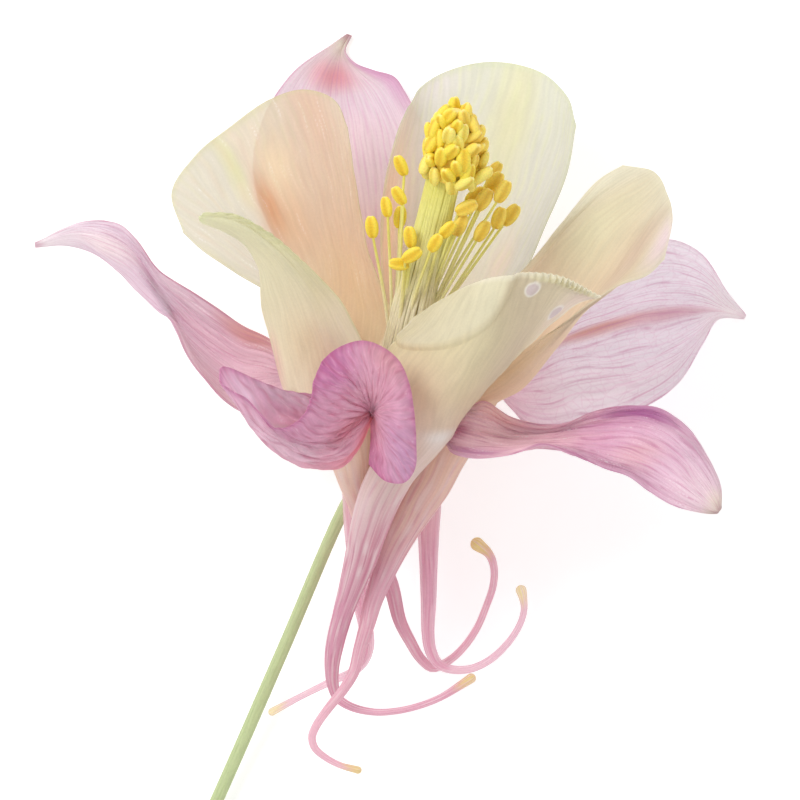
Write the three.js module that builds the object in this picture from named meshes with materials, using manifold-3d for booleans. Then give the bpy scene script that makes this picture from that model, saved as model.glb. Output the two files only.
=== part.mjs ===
// A long-spurred columbine flower, picked with its stalk and laid on a flat surface.
// Millimetres. +Z is up from the surface, +Y runs from the cut stalk towards the flower, +X is to the right.
//
// Five pink sepals and five cream petals stand in turn round a small green receptacle. Each petal is a horn:
// a broad blade in front, a throat, and a thin curling spur behind that ends in a nectar knob.
// In the middle stand the stamens: a column of filaments, a dense head of anthers on it, and some loose ones.

import * as THREE from "three";
import { mergeVertices } from "three/addons/utils/BufferGeometryUtils.js";
import Module from "manifold-3d";

const wasm = await Module();
wasm.setup();

// ---------------------------------------------------------------- driving dimensions

const SHEET = 0.6; // thickness of a petal or sepal
const CLEARANCE = 0.3; // gap between touching organs
const REST_HEIGHT = 19.0; // centre of the receptacle above the surface
const FLOWER_LEAN = 30; // degrees that the flower's axis rises from the surface
const FLOWER_TURN = 13.6; // degrees that it is turned to the right, seen from above
const RECEPTACLE_RADIUS = 2.0;
const STALK_RADIUS = 0.65;
const MIDDLE = { x: -0.846, y: -14.778 }; // the middle of the plant's outline on the surface

const radians = THREE.MathUtils.degToRad;
const point = (x, y, z) => new THREE.Vector3(x, y, z);

// The flower's own axes: along it, across it to the right, and across it to the side that faces up.
const CENTRE = point(-0.3, 2.8, 0);
const AXIS = point(
  Math.sin(radians(FLOWER_TURN)) * Math.cos(radians(FLOWER_LEAN)),
  Math.cos(radians(FLOWER_TURN)) * Math.cos(radians(FLOWER_LEAN)),
  Math.sin(radians(FLOWER_LEAN)),
);
const RIGHT = point(Math.cos(radians(FLOWER_TURN)), -Math.sin(radians(FLOWER_TURN)), 0);
const FRONT = new THREE.Vector3().crossVectors(RIGHT, AXIS);

const outward = (angle) =>
  RIGHT.clone().multiplyScalar(Math.sin(radians(angle))).addScaledVector(FRONT, Math.cos(radians(angle)));
const sideways = (angle) =>
  RIGHT.clone().multiplyScalar(Math.cos(radians(angle))).addScaledVector(FRONT, -Math.sin(radians(angle)));
// A point by its height along the flower's axis, its distance from it and its angle round it.
const inFlower = (height, radius, angle) =>
  CENTRE.clone().addScaledVector(AXIS, height).addScaledVector(outward(angle), radius);

// ---------------------------------------------------------------- the organs' shapes

// A petal's blade is drawn by lines from its throat to its rim: from one margin round the back to the other.
// Its spur is a line from the throat's centre to the knob, each point [x, y, z, radius].
const THROAT = {
  height: -1.5,
  distance: RECEPTACLE_RADIUS + CLEARANCE + SHEET / 2 + 4.1,
  depth: 4.1,
  taper: 0.35, // how much narrower the throat is towards the receptacle
  sides: 16,
  rings: 3, // rings between the throat and the spur's first point
  fullSpans: 5, // spans of the spur that keep all the throat's sides; thinner ones have half as many
  hollowRings: 5, // rings down to the floor of the hollow
};
const PETALS = [
  {
    name: "petal_front",
    angle: 29,
    halfWidth: 3.0,
    steps: 9,
    blade: [
      [[-0.7, 2.8, 3.0], [-1.1, 5.0, 5.0], [0.5, 6.7, 6.5], [2.5, 8.4, 8.0]],
      [[-1.3, 0.5, 7.4], [-0.2, 3.6, 9.0], [3.0, 7.0, 11.0], [5.5, 10.2, 12.5]],
      [[4.5, -1.0, 11.0], [6.5, 3.0, 14.5], [8.8, 7.5, 17.5], [10.5, 12.4, 19.0]],
      [[7.8, 0.3, 6.8], [10.6, 3.8, 11.0], [13.6, 8.2, 15.0], [16.0, 12.5, 17.0]],
      [
        [4.0, 0.3, 2.3], [8.0, 1.9, 4.9], [12.4, 5.2, 9.0], [15.8, 8.2, 12.0], [18.2, 9.8, 13.7],
        [20.0, 10.4, 14.4],
      ],
    ],
    spur: [
      [-0.9, -7.4, 2.3, 2.25], [-2.0, -9.6, 1.2, 2.15], [-3.1, -12.8, -0.7, 1.9], [-4.0, -16.1, -3.2, 1.6],
      [-5.0, -19.1, -5.2, 1.2], [-5.8, -21.7, -6.8, 1.0], [-6.5, -24.4, -8.4, 0.92],
      [-6.8, -26.6, -9.6, 0.75], [-6.7, -28.5, -10.5, 0.6], [-6.2, -29.8, -11.0, 0.48],
      [-4.8, -30.7, -11.0, 0.42], [-2.5, -31.2, -10.6, 0.36], [-0.5, -31.1, -10.1, 0.34],
      [1.8, -30.6, -9.6, 0.33], [4.1, -29.7, -9.1, 0.34], [5.9, -28.6, -8.7, 0.42],
      [7.1, -27.8, -8.5, 0.5],
    ],
  },
  {
    name: "petal_right",
    angle: 105,
    halfWidth: 2.7,
    steps: 9,
    blade: [
      [
        [5.2, 1.5, 0.9], [10.7, 4.0, 3.9], [16.0, 7.5, 7.2], [21.5, 11.2, 9.2], [24.6, 12.4, 9.4],
        [26.3, 14.0, 8.8],
      ],
      [[9.8, 0.5, 3.0], [14.0, 4.5, 6.0], [18.0, 8.5, 7.5], [23.0, 13.0, 8.0], [27.1, 18.0, 7.5]],
      [[12.4, 2.2, -0.6], [16.0, 6.5, 1.5], [20.0, 12.0, 3.5], [24.0, 17.5, 4.5], [26.5, 20.7, 4.5]],
      [[7.8, 5.0, -3.4], [11.0, 9.5, -2.2], [15.2, 15.0, -1.2], [20.0, 19.8, -0.4], [25.2, 22.8, 1.0]],
      [
        [4.0, 4.5, -2.0], [7.5, 8.2, -0.8], [12.0, 12.7, -0.4], [16.3, 17.9, -0.6], [19.7, 21.9, -0.6],
        [22.2, 23.4, -0.2],
      ],
    ],
    spur: [
      [5.3, -3.2, -2.3, 2.55], [4.2, -6.2, -2.6, 2.15], [3.3, -8.4, -3.1, 1.85], [2.1, -10.4, -3.4, 1.65],
      [0.7, -12.8, -4.0, 1.4], [-0.7, -15.4, -4.75, 1.25], [-1.85, -17.9, -5.6, 1.1],
      [-2.7, -20.2, -6.4, 0.92], [-3.3, -22.5, -7.0, 0.78], [-4.0, -24.8, -7.6, 0.65],
      [-4.6, -27.1, -8.0, 0.58], [-5.7, -29.0, -8.3, 0.5], [-7.0, -30.6, -8.7, 0.46],
      [-8.4, -32.6, -9.3, 0.42], [-8.8, -33.8, -9.8, 0.4], [-8.5, -34.8, -10.1, 0.38],
      [-7.5, -35.7, -10.4, 0.34], [-6.0, -36.5, -10.6, 0.32], [-4.2, -37.0, -10.7, 0.38],
    ],
  },
  {
    name: "petal_back_right",
    angle: 172,
    halfWidth: 2.7,
    steps: 9,
    blade: [
      [
        [4.0, 5.0, -3.0], [8.0, 8.0, -2.8], [12.0, 12.0, -2.5], [14.6, 17.8, -2.6], [16.9, 23.2, -3.6],
        [17.6, 27.4, -5.0],
      ],
      [[5.6, 6.0, -5.2], [9.4, 11.0, -5.2], [13.0, 17.5, -5.6], [15.8, 24.5, -6.4], [16.7, 30.3, -8.2]],
      [[5.8, 8.0, -6.5], [8.6, 15.0, -7.0], [11.8, 23.0, -7.8], [14.2, 32.7, -10.0]],
      [[3.6, 10.0, -9.0], [5.4, 17.5, -9.2], [7.4, 25.5, -9.6], [9.4, 33.8, -11.0]],
      [[1.6, 10.5, -8.8], [2.8, 17.5, -8.8], [4.2, 25.0, -9.2], [5.0, 33.0, -10.8]],
      [[-0.4, 9.0, -6.0], [-0.1, 15.5, -6.2], [0.6, 23.0, -7.2], [2.0, 31.2, -9.2]],
      [[-1.0, 7.0, -3.4], [-2.0, 13.5, -3.8], [-1.7, 20.5, -4.6], [-0.3, 26.5, -6.0], [0.8, 29.2, -7.3]],
    ],
    spur: [
      [1.5, 0.5, -7.9, 2.3], [2.5, -4.5, -8.6, 1.7], [2.9, -10.0, -9.0, 1.25], [2.85, -13.3, -9.2, 1.08],
      [2.85, -16.8, -9.4, 0.9], [2.85, -20.2, -9.7, 0.78], [2.8, -23.2, -10.0, 0.65],
      [3.05, -25.0, -10.2, 0.6], [3.75, -26.3, -10.4, 0.52], [5.0, -26.9, -10.4, 0.44],
      [6.9, -26.9, -10.3, 0.4], [8.8, -26.1, -10.1, 0.38], [10.6, -24.5, -9.8, 0.35],
      [11.9, -22.6, -9.6, 0.33], [12.4, -21.0, -9.4, 0.33], [12.3, -19.8, -9.3, 0.42],
      [12.1, -19.0, -9.2, 0.55],
    ],
  },
  {
    name: "petal_back_left",
    angle: 242,
    halfWidth: 2.7,
    steps: 9,
    blade: [
      [[-2.0, 6.3, -3.2], [-2.6, 11.0, -4.2], [-3.6, 16.5, -5.0], [-4.3, 22.0, -5.5], [-5.2, 27.2, -5.5]],
      [[-2.9, 8.5, -5.0], [-3.9, 14.5, -5.6], [-5.0, 21.5, -6.0], [-6.6, 30.0, -5.8]],
      [[-4.6, 10.5, -6.4], [-6.0, 17.0, -6.2], [-7.4, 23.5, -5.8], [-9.5, 31.0, -5.2]],
      [[-7.2, 11.2, -6.0], [-8.6, 17.5, -5.2], [-10.4, 24.0, -4.2], [-13.0, 30.0, -3.2]],
      [[-9.2, 10.6, -3.6], [-11.4, 16.0, -2.2], [-14.0, 21.8, -0.8], [-16.8, 27.3, 0.4]],
      [[-8.8, 8.6, 0.2], [-12.6, 13.2, 2.2], [-16.8, 18.2, 4.0], [-20.4, 24.4, 5.0]],
      [
        [-5.5, 5.0, 1.2], [-10.0, 8.8, 4.0], [-15.0, 11.9, 6.5], [-20.0, 15.3, 8.0], [-21.7, 17.1, 8.4],
        [-22.6, 19.5, 8.6],
      ],
    ],
    spur: [
      [-5.2, 0.0, -4.5, 2.1], [-4.6, -5.0, -5.8, 1.65], [-4.4, -9.0, -7.0, 1.4], [-4.4, -12.7, -8.2, 1.2],
      [-4.2, -16.0, -9.3, 1.05], [-3.9, -20.0, -10.5, 0.85], [-3.4, -22.8, -11.3, 0.72],
      [-3.2, -24.6, -11.8, 0.62], [-3.7, -26.2, -12.2, 0.53], [-4.9, -27.3, -12.6, 0.45],
      [-6.3, -27.9, -12.9, 0.4], [-8.2, -28.8, -13.1, 0.34], [-10.0, -29.7, -13.2, 0.32],
      [-11.7, -30.6, -13.1, 0.36], [-12.8, -31.2, -13.0, 0.4],
    ],
  },
  {
    name: "petal_left",
    angle: -50,
    halfWidth: 2.7,
    steps: 10,
    blade: [
      [
        [-5.5, 3.2, 1.0], [-9.0, 5.0, 2.5], [-12.0, 7.2, 4.5], [-13.4, 10.2, 6.5], [-13.8, 13.0, 8.5],
        [-15.0, 15.3, 11.0], [-17.6, 17.1, 14.4],
      ],
      [
        [-11.0, 1.8, 3.6], [-12.5, 5.0, 6.3], [-13.6, 9.2, 9.0], [-14.0, 13.2, 11.8], [-16.2, 16.2, 14.5],
        [-19.6, 17.8, 16.6],
      ],
      [
        [-10.0, 2.6, 7.8], [-10.6, 6.0, 10.5], [-11.8, 10.5, 13.5], [-13.8, 14.4, 16.0],
        [-17.0, 17.0, 17.2], [-20.0, 18.0, 17.7],
      ],
      [
        [-6.2, 2.2, 7.8], [-7.0, 5.5, 11.5], [-9.0, 10.0, 14.5], [-12.0, 14.2, 17.3], [-16.0, 17.3, 18.6],
        [-19.9, 18.2, 18.8],
      ],
      [
        [-2.9, 3.6, 3.4], [-4.0, 6.2, 7.4], [-6.0, 10.0, 11.6], [-9.7, 13.8, 15.3], [-13.3, 16.8, 17.6],
        [-16.4, 18.4, 18.8], [-19.5, 18.5, 19.4],
      ],
    ],
    spur: [
      [-5.4, -4.0, 0.7, 2.3], [-4.6, -7.4, -1.8, 1.75], [-3.9, -10.0, -3.8, 1.45],
      [-3.2, -12.7, -5.6, 1.25], [-2.1, -16.0, -7.5, 0.98], [-0.9, -18.6, -8.8, 0.8],
      [0.0, -22.1, -10.3, 0.66], [1.0, -24.1, -11.3, 0.58], [2.1, -25.9, -12.4, 0.5],
      [3.3, -26.8, -13.0, 0.45], [5.0, -26.0, -13.2, 0.4], [6.4, -24.7, -13.0, 0.38],
      [7.7, -22.8, -12.5, 0.37], [8.6, -20.7, -11.8, 0.36], [9.3, -18.6, -11.2, 0.37],
      [9.4, -16.8, -10.6, 0.38], [8.9, -15.4, -10.2, 0.45], [7.7, -14.4, -10.0, 0.7],
    ],
  },
];

// A sepal's claw is a narrow strip from the receptacle out between two horns, each point
// [height, distance, angle, half its width]. The blade's lines run on from it to the margin or to the tip.
const SEPALS = [
  {
    name: "sepal_back",
    claw: [[-3.6, 2.5, 207, 0.3], [-3.2, 4.4, 207, 0.32], [-2.6, 7.4, 207, 0.5], [-1.6, 10.4, 206, 1.0]],
    lines: [
      [
        [1.2, 12.6, -11.4], [3.0, 20.0, -13.2], [3.2, 25.5, -14.4], [1.6, 28.8, -15.2], [0.4, 31.0, -15.8],
        [-0.6, 32.4, -16.3], [-2.6, 33.0, -17.0], [-4.5, 33.7, -17.6], [-5.5, 35.0, -18.2],
      ],
      [
        [-0.6, 12.8, -11.6], [0.2, 20.0, -13.8], [-0.2, 26.5, -16.0], [-2.2, 30.8, -17.2],
        [-4.2, 33.0, -18.0], [-5.6, 34.8, -18.4],
      ],
      [
        [-2.6, 12.8, -11.2], [-3.6, 20.0, -13.6], [-4.5, 27.0, -16.4], [-5.3, 30.8, -18.0],
        [-5.7, 33.5, -18.9], [-5.8, 35.1, -18.8],
      ],
      [
        [-4.4, 12.6, -10.4], [-8.2, 19.0, -12.2], [-9.8, 26.0, -15.0], [-9.4, 30.8, -16.9],
        [-7.6, 34.0, -18.2], [-6.1, 35.4, -18.5],
      ],
      [
        [-5.8, 12.2, -9.4], [-12.5, 17.2, -10.0], [-14.7, 23.0, -11.8], [-13.6, 28.4, -14.2],
        [-10.6, 32.9, -16.8], [-7.0, 35.5, -18.2],
      ],
    ],
    tip: [[-4.8, 36.5, -18.5], [-5.3, 36.7, -18.4]],
  },
  {
    name: "sepal_back_right",
    claw: [[-3.6, 2.5, 136, 0.3], [-3.2, 4.4, 136, 0.32], [-2.6, 7.4, 136, 0.5], [-2.0, 10.4, 136, 1.0]],
    lines: [
      [
        [11.2, -0.9, -8.5], [15.5, -2.4, -9.2], [20.0, -2.0, -10.2], [24.3, -0.8, -12.0],
        [27.9, 1.7, -14.2], [30.4, 5.6, -16.6], [31.9, 8.1, -17.8],
      ],
      [
        [11.2, 1.2, -10.2], [17.0, 2.8, -12.8], [22.5, 3.5, -15.0], [26.6, 4.6, -16.8], [29.6, 6.5, -18.0],
        [32.0, 8.4, -18.5],
      ],
      [
        [10.8, 3.2, -11.0], [16.4, 6.0, -14.2], [22.0, 7.8, -16.8], [27.2, 8.9, -18.4], [30.6, 9.2, -18.9],
        [32.4, 8.9, -18.8],
      ],
      [
        [10.5, 4.8, -10.8], [16.0, 8.2, -13.4], [22.0, 11.0, -15.6], [27.0, 12.2, -17.0],
        [30.5, 11.5, -17.6], [32.7, 9.6, -18.3],
      ],
      [
        [10.0, 6.5, -10.0], [16.0, 11.4, -11.6], [22.0, 14.8, -12.8], [26.8, 16.0, -13.6],
        [30.1, 14.7, -14.8], [32.8, 10.8, -16.8],
      ],
    ],
    tip: [[34.5, 8.1, -18.3], [34.7, 8.5, -18.2]],
  },
  {
    name: "sepal_left",
    claw: [[-3.6, 2.5, 276, 0.3], [-3.2, 4.4, 276, 0.32], [-2.8, 7.2, 277, 0.5], [-2.6, 9.0, 277, 1.1]],
    lines: [
      [
        [-12.8, 6.0, -2.0], [-15.6, 7.4, -2.4], [-20.1, 10.4, -1.4], [-23.9, 12.7, 0.2],
        [-26.3, 16.0, 1.0], [-28.2, 17.6, 0.6], [-31.8, 17.7, -0.6],
      ],
      [
        [-13.2, 4.4, -3.6], [-15.8, 5.2, -4.6], [-20.6, 8.6, -3.6], [-23.9, 11.6, -1.2],
        [-26.6, 15.0, 0.4], [-28.8, 16.4, 0.4], [-32.1, 16.9, -0.7],
      ],
      [
        [-13.4, 2.7, -4.0], [-16.0, 3.0, -5.4], [-21.0, 6.8, -4.7], [-23.9, 10.4, -2.2],
        [-26.8, 13.6, 0.0], [-29.5, 15.0, -0.3], [-32.3, 16.2, -1.2],
      ],
      [
        [-13.2, 1.2, -2.6], [-15.8, 0.7, -3.0], [-20.8, 4.6, -2.6], [-23.5, 9.2, -3.2],
        [-26.0, 11.9, -2.8], [-28.6, 13.8, -2.6], [-32.3, 15.7, -2.1],
      ],
      [
        [-12.6, -0.2, 0.2], [-15.4, -1.3, 0.6], [-20.1, 2.8, 0.6], [-22.5, 7.6, -1.8], [-24.2, 9.0, -4.0],
        [-26.2, 10.9, -5.0], [-28.1, 13.0, -4.6], [-30.5, 14.6, -3.6], [-33.4, 15.4, -2.8],
      ],
    ],
    tip: [[-36.4, 15.7, -2.3], [-36.4, 15.2, -2.5]],
  },
  {
    name: "sepal_front_right",
    claw: [[-3.6, 2.5, 66, 0.3], [-3.2, 4.4, 65, 0.32], [-2.9, 7.2, 64, 0.5], [-2.7, 9.0, 61, 1.2]],
    lines: [
      [
        [5.7, -4.8, 5.2], [8.6, -5.5, 7.0], [11.4, -5.1, 7.0], [14.0, -4.4, 7.2], [16.7, -5.2, 8.4],
        [19.9, -6.6, 10.6], [22.8, -7.6, 12.2], [24.8, -9.1, 12.9], [27.2, -10.5, 13.4],
        [29.8, -11.2, 13.4],
      ],
      [
        [5.4, -4.2, 3.6], [9.6, -5.6, 4.5], [13.6, -4.7, 5.5], [18.0, -5.0, 8.3], [22.5, -6.3, 11.0],
        [26.0, -7.9, 12.5], [28.8, -9.7, 13.5], [30.7, -10.9, 13.4],
      ],
      [
        [7.2, -3.8, 2.2], [11.2, -4.6, 1.8], [14.6, -4.0, 3.5], [19.0, -3.8, 7.0], [23.6, -4.0, 9.5],
        [27.1, -5.6, 11.0], [29.7, -8.2, 12.5], [31.2, -10.2, 13.1],
      ],
      [
        [8.2, -2.2, 1.5], [11.4, -3.2, 1.4], [14.7, -3.3, 2.5], [19.0, -2.5, 5.0], [23.6, -1.9, 7.5],
        [27.4, -3.4, 9.0], [30.1, -6.2, 11.0], [31.6, -9.2, 12.5],
      ],
      [
        [8.3, -0.5, 2.1], [10.8, -1.7, 2.6], [14.0, -2.5, 3.0], [16.6, -2.3, 4.0], [19.4, -1.1, 5.0],
        [22.9, -0.6, 6.0], [26.0, -0.9, 6.8], [28.7, -2.9, 8.2], [30.6, -5.8, 10.0], [31.8, -8.6, 11.6],
      ],
    ],
    tip: [[31.5, -11.3, 12.8], [31.9, -10.8, 12.5]],
  },
  {
    name: "sepal_front",
    steps: 11,
    columns: 28,
    claw: [[-3.6, 2.5, -12, 0.3], [-3.2, 4.2, -12, 0.32], [-2.8, 5.8, -14, 0.5]],
    lines: [
      [[-4.6, -1.2, 7.6], [-6.6, -0.6, 9.2], [-8.7, 0.6, 10.6]],
      [[-4.5, -2.2, 8.0], [-8.0, -1.6, 11.2], [-11.5, 1.0, 14.2]],
      [[-4.0, -2.8, 8.4], [-8.8, -3.6, 13.0], [-12.2, -1.4, 16.2], [-14.6, 2.2, 19.6]],
      [[-3.3, -3.1, 8.8], [-5.4, -6.1, 12.8], [-9.4, -6.5, 17.0], [-13.8, -3.7, 21.4], [-17.7, 3.2, 25.0]],
      [[-3.3, -2.7, 9.8], [-5.5, -5.6, 14.6], [-9.8, -5.8, 19.4], [-14.2, -2.9, 23.4], [-17.6, 1.6, 26.0]],
      [[-3.6, -2.3, 10.6], [-5.8, -4.8, 15.6], [-9.3, -4.9, 20.0], [-12.8, -2.9, 23.4], [-15.3, 0.2, 25.6]],
      [[-3.9, -1.9, 11.2], [-6.0, -4.0, 16.0], [-9.4, -4.3, 20.4], [-12.6, -2.7, 23.9]],
      [[-4.1, -1.5, 11.6], [-6.1, -3.1, 16.2], [-8.4, -3.5, 19.2], [-10.6, -2.4, 22.0]],
      [[-4.2, -1.0, 11.8], [-6.1, -2.1, 16.2], [-9.3, -1.1, 20.2]],
      [[-4.1, -0.5, 12.0], [-6.1, -0.8, 16.3], [-8.8, 0.2, 19.2]],
      [[-3.9, 0.0, 12.0], [-5.8, 0.6, 16.2], [-8.5, 2.0, 17.9]],
      [[-3.6, 0.3, 12.0], [-5.2, 1.9, 16.1], [-7.5, 4.1, 16.9]],
      [[-3.1, 0.5, 12.0], [-4.3, 2.8, 16.0], [-5.7, 5.4, 16.3]],
      [[-2.6, 0.6, 12.0], [-3.1, 3.2, 15.9], [-3.7, 5.9, 15.9]],
      [[-2.1, 0.5, 12.0], [-1.9, 2.9, 15.9], [-1.8, 5.3, 15.6]],
      [[-1.7, 0.2, 12.0], [-0.9, 2.0, 16.0], [-0.1, 3.9, 15.5]],
      [[-1.4, -0.3, 12.0], [-0.3, 0.5, 16.1], [0.9, 1.7, 15.5]],
      [[-1.3, -0.9, 12.0], [-0.1, -1.3, 16.1], [1.4, -1.2, 15.3]],
      [[-1.4, -1.4, 11.8], [-0.2, -3.1, 15.7], [1.6, -4.2, 14.9]],
      [[-1.6, -1.8, 11.4], [-0.5, -4.6, 15.0], [1.5, -6.8, 14.0]],
      [[-1.9, -2.0, 10.8], [-1.1, -5.3, 14.0], [0.4, -8.2, 13.0]],
      [[-2.2, -2.1, 10.1], [-1.9, -5.0, 12.9], [-1.5, -8.0, 12.2]],
      [[-2.5, -2.0, 9.3], [-2.9, -4.2, 11.4], [-3.1, -6.4, 11.6]],
    ],
  },
];

const SEPAL_GRID = { steps: 16, columns: 8 };

const STALK = [
  [-1.27, -1.4, -2.5], [-1.8, -3.7, -5.6], [-3.1, -6.8, -9.2], [-5.6, -10.9, -11.7], [-11.5, -24.5, -15.4],
  [-18.3, -40.0, -17.4], [-24.7, -54.0, -18.3], [-30.2, -66.0, -18.6],
];

// The column of filaments, [height, radius] along the flower's axis, and the head of anthers on its top.
const COLUMN = {
  profile: [[0.85, 1.45], [6, 1.5], [12, 1.58], [18, 1.66], [23, 1.72]],
  ridges: 14,
  ridgeDepth: 0.12,
};
const HEAD = { foot: 21.9, top: 31.6, radius: 2.75, core: 0.86, anthers: 45, shift: 0.3 };
const ANTHER = { halfLength: 1.15, halfWidth: 0.62, halfDepth: 0.5 };
const FILAMENT_RADIUS = 0.28;

// The loose stamens: the place of each anther and the way it leans, [x, y, z], [dx, dy, dz].
const LOOSE = [
  [[-2.8, 17.2, 7.6], [-0.1, 1.0, 0.3]], [[-1.35, 19.2, 8.0], [-0.15, 1.0, 0.2]],
  [[-0.1, 20.3, 10.6], [-0.55, 0.9, 0.3]], [[0.0, 18.2, 6.4], [0.1, 1.0, 0.2]],
  [[0.1, 23.3, 9.2], [-0.4, 0.95, 0.3]], [[1.0, 16.2, 10.0], [-0.1, 1.0, 0.4]],
  [[1.2, 14.4, 10.6], [0.8, 0.5, 0.4]], [[-0.1, 13.5, 9.4], [-1.0, 0.1, 0.3]],
  [[3.5, 15.6, 11.9], [0.5, 0.8, 0.5]], [[4.7, 16.9, 11.6], [0.75, 0.8, 0.3]],
  [[5.95, 17.4, 10.4], [0.4, 1.0, 0.3]], [[6.6, 19.1, 11.6], [0.95, 0.45, 0.3]],
  [[7.5, 20.3, 8.6], [0.8, 0.6, 0.2]], [[8.3, 19.9, 10.6], [0.6, 0.9, 0.2]],
  [[9.3, 22.7, 7.4], [0.6, 0.8, 0.1]], [[9.4, 21.6, 9.4], [0.6, 0.85, 0.2]],
  [[10.2, 20.7, 11.0], [0.5, 0.9, 0.2]], [[8.15, 16.8, 9.0], [0.5, 0.9, 0.2]],
  [[9.8, 18.1, 8.2], [0.35, 1.0, 0.2]], [[11.0, 18.4, 6.4], [0.6, 0.8, 0.1]],
];

// ---------------------------------------------------------------- meshes

// A closed skin in the making: its points, and the triangles between them.
class Skin {
  constructor() {
    this.points = [];
    this.faces = [];
  }
  add(p) {
    this.points.push(p.clone());
    return this.points.length - 1;
  }
  // Four points in turn, counter-clockwise from outside, split from the first to the third or the other way.
  quad(a, b, c, d, otherWay = false) {
    if (otherWay) this.faces.push(a, b, d, b, c, d);
    else this.faces.push(a, b, c, a, c, d);
  }
  geometry() {
    const geometry = new THREE.BufferGeometry();
    const places = this.points.flatMap((p) => p.toArray());
    geometry.setAttribute("position", new THREE.Float32BufferAttribute(places, 3));
    geometry.setIndex(this.faces);
    return geometry;
  }
}

function toSolid(geometry) {
  const bare = geometry.clone();
  bare.deleteAttribute("normal");
  bare.deleteAttribute("uv");
  const merged = mergeVertices(bare, 1e-4);
  return new wasm.Manifold(
    new wasm.Mesh({
      numProp: 3,
      vertProperties: merged.attributes.position.array,
      triVerts: new Uint32Array(merged.index.array),
    }),
  );
}

function toGeometry(solid) {
  const mesh = solid.getMesh();
  const geometry = new THREE.BufferGeometry();
  geometry.setAttribute("position", new THREE.BufferAttribute(mesh.vertProperties.slice(), 3));
  geometry.setIndex([...mesh.triVerts]);
  return geometry;
}

const union = (geometries) => geometries.map(toSolid).reduce((all, next) => all.add(next));

const smooth = (points) => new THREE.CatmullRomCurve3(points, false, "centripetal");

// A grid of points: each line is followed in equal steps, and each step is joined across the lines.
function lattice(lines, steps, columns) {
  const along = lines.map((line) => smooth(line).getSpacedPoints(steps));
  return Array.from({ length: steps + 1 }, (_, i) => {
    const across = smooth(along.map((line) => line[i]));
    return Array.from({ length: columns + 1 }, (_, j) => across.getPoint(j / columns));
  });
}

// The outward normal at each point of a grid. A first row that closes on itself has one normal for both ends.
function normalsOf(grid, closes) {
  const rows = grid.length - 1;
  const columns = grid[0].length - 1;
  return grid.map((row, i) =>
    row.map((_, j) => {
      const seam = closes && i === 0 && (j === 0 || j === columns);
      const before = seam ? row[columns - 1] : row[Math.max(j - 1, 0)];
      const after = seam ? row[1] : row[Math.min(j + 1, columns)];
      const forward = grid[Math.min(i + 1, rows)][j].clone().sub(grid[Math.max(i - 1, 0)][j]);
      return after.clone().sub(before).cross(forward).normalize();
    }),
  );
}

// Both faces of a sheet of even thickness round a grid, its two margins and its far rim. Both faces are split
// alike, along the shorter diagonals. It gives back its first row's points on the outer and the inner face.
function addSheet(skin, grid, closes) {
  const rows = grid.length - 1;
  const columns = grid[0].length - 1;
  const normals = normalsOf(grid, closes);
  const face = (side) => {
    const indices = grid.map((row, i) => {
      const length = closes && i === 0 ? columns : columns + 1;
      const offset = (p, j) => p.clone().addScaledVector(normals[i][j], (side * SHEET) / 2);
      return row.slice(0, length).map((p, j) => skin.add(offset(p, j)));
    });
    if (closes) indices[0].push(indices[0][0]);
    return indices;
  };
  const outer = face(1);
  const inner = face(-1);
  for (let i = 0; i < rows; i++)
    for (let j = 0; j < columns; j++) {
      const [a, b, c, d] = [grid[i][j], grid[i][j + 1], grid[i + 1][j + 1], grid[i + 1][j]];
      const otherWay = a.distanceTo(c) > b.distanceTo(d);
      skin.quad(outer[i][j], outer[i][j + 1], outer[i + 1][j + 1], outer[i + 1][j], otherWay);
      skin.quad(inner[i + 1][j], inner[i + 1][j + 1], inner[i][j + 1], inner[i][j], otherWay);
    }
  for (let i = 0; i < rows; i++) {
    skin.quad(outer[i][0], outer[i + 1][0], inner[i + 1][0], inner[i][0]);
    skin.quad(outer[i + 1][columns], outer[i][columns], inner[i][columns], inner[i + 1][columns]);
  }
  for (let j = 0; j < columns; j++)
    skin.quad(outer[rows][j], outer[rows][j + 1], inner[rows][j + 1], inner[rows][j]);
  return [outer[0], inner[0]];
}

// A ring of a petal's horn: egg-shaped at the throat, narrow towards the receptacle, and round in the spur.
// It starts on the side of the receptacle and goes round by the side of the smaller angle.
function hornRing({ centre, out, across, size }, inset, sides) {
  return Array.from({ length: sides }, (_, j) => {
    const turn = Math.PI + (2 * Math.PI * j) / sides;
    const [depth, halfWidth, taper] = size.toArray();
    return centre
      .clone()
      .addScaledVector(out, (depth - inset) * Math.cos(turn))
      .addScaledVector(across, (halfWidth - inset) * Math.sin(turn) * (1 + taper * Math.cos(turn)));
  });
}

// The sections of a petal's horn, from its throat down to its knob: centre, directions and size of each.
function hornSections(petal) {
  const throat = inFlower(THROAT.height, THROAT.distance, petal.angle);
  const line = smooth([throat, ...petal.spur.map(([x, y, z]) => point(x, y, z))]);
  const sizes = smooth([
    point(THROAT.depth, petal.halfWidth, THROAT.taper),
    ...petal.spur.map(([, , , radius]) => point(radius, radius, 0)),
  ]);
  const spans = petal.spur.length;
  const inThroat = Array.from({ length: THROAT.rings }, (_, k) => k / (THROAT.rings * spans));
  const inSpur = Array.from({ length: spans }, (_, k) => (k + 1) / spans);
  let out = outward(petal.angle);
  let across = sideways(petal.angle);
  return [...inThroat, ...inSpur].map((share, k) => {
    if (k > 0) {
      const tangent = line.getTangent(share).normalize();
      out = out.clone().addScaledVector(tangent, -out.dot(tangent)).normalize();
      across = new THREE.Vector3().crossVectors(out, tangent).normalize();
    }
    return { centre: line.getPoint(share), out, across, size: sizes.getPoint(share) };
  });
}

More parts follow.
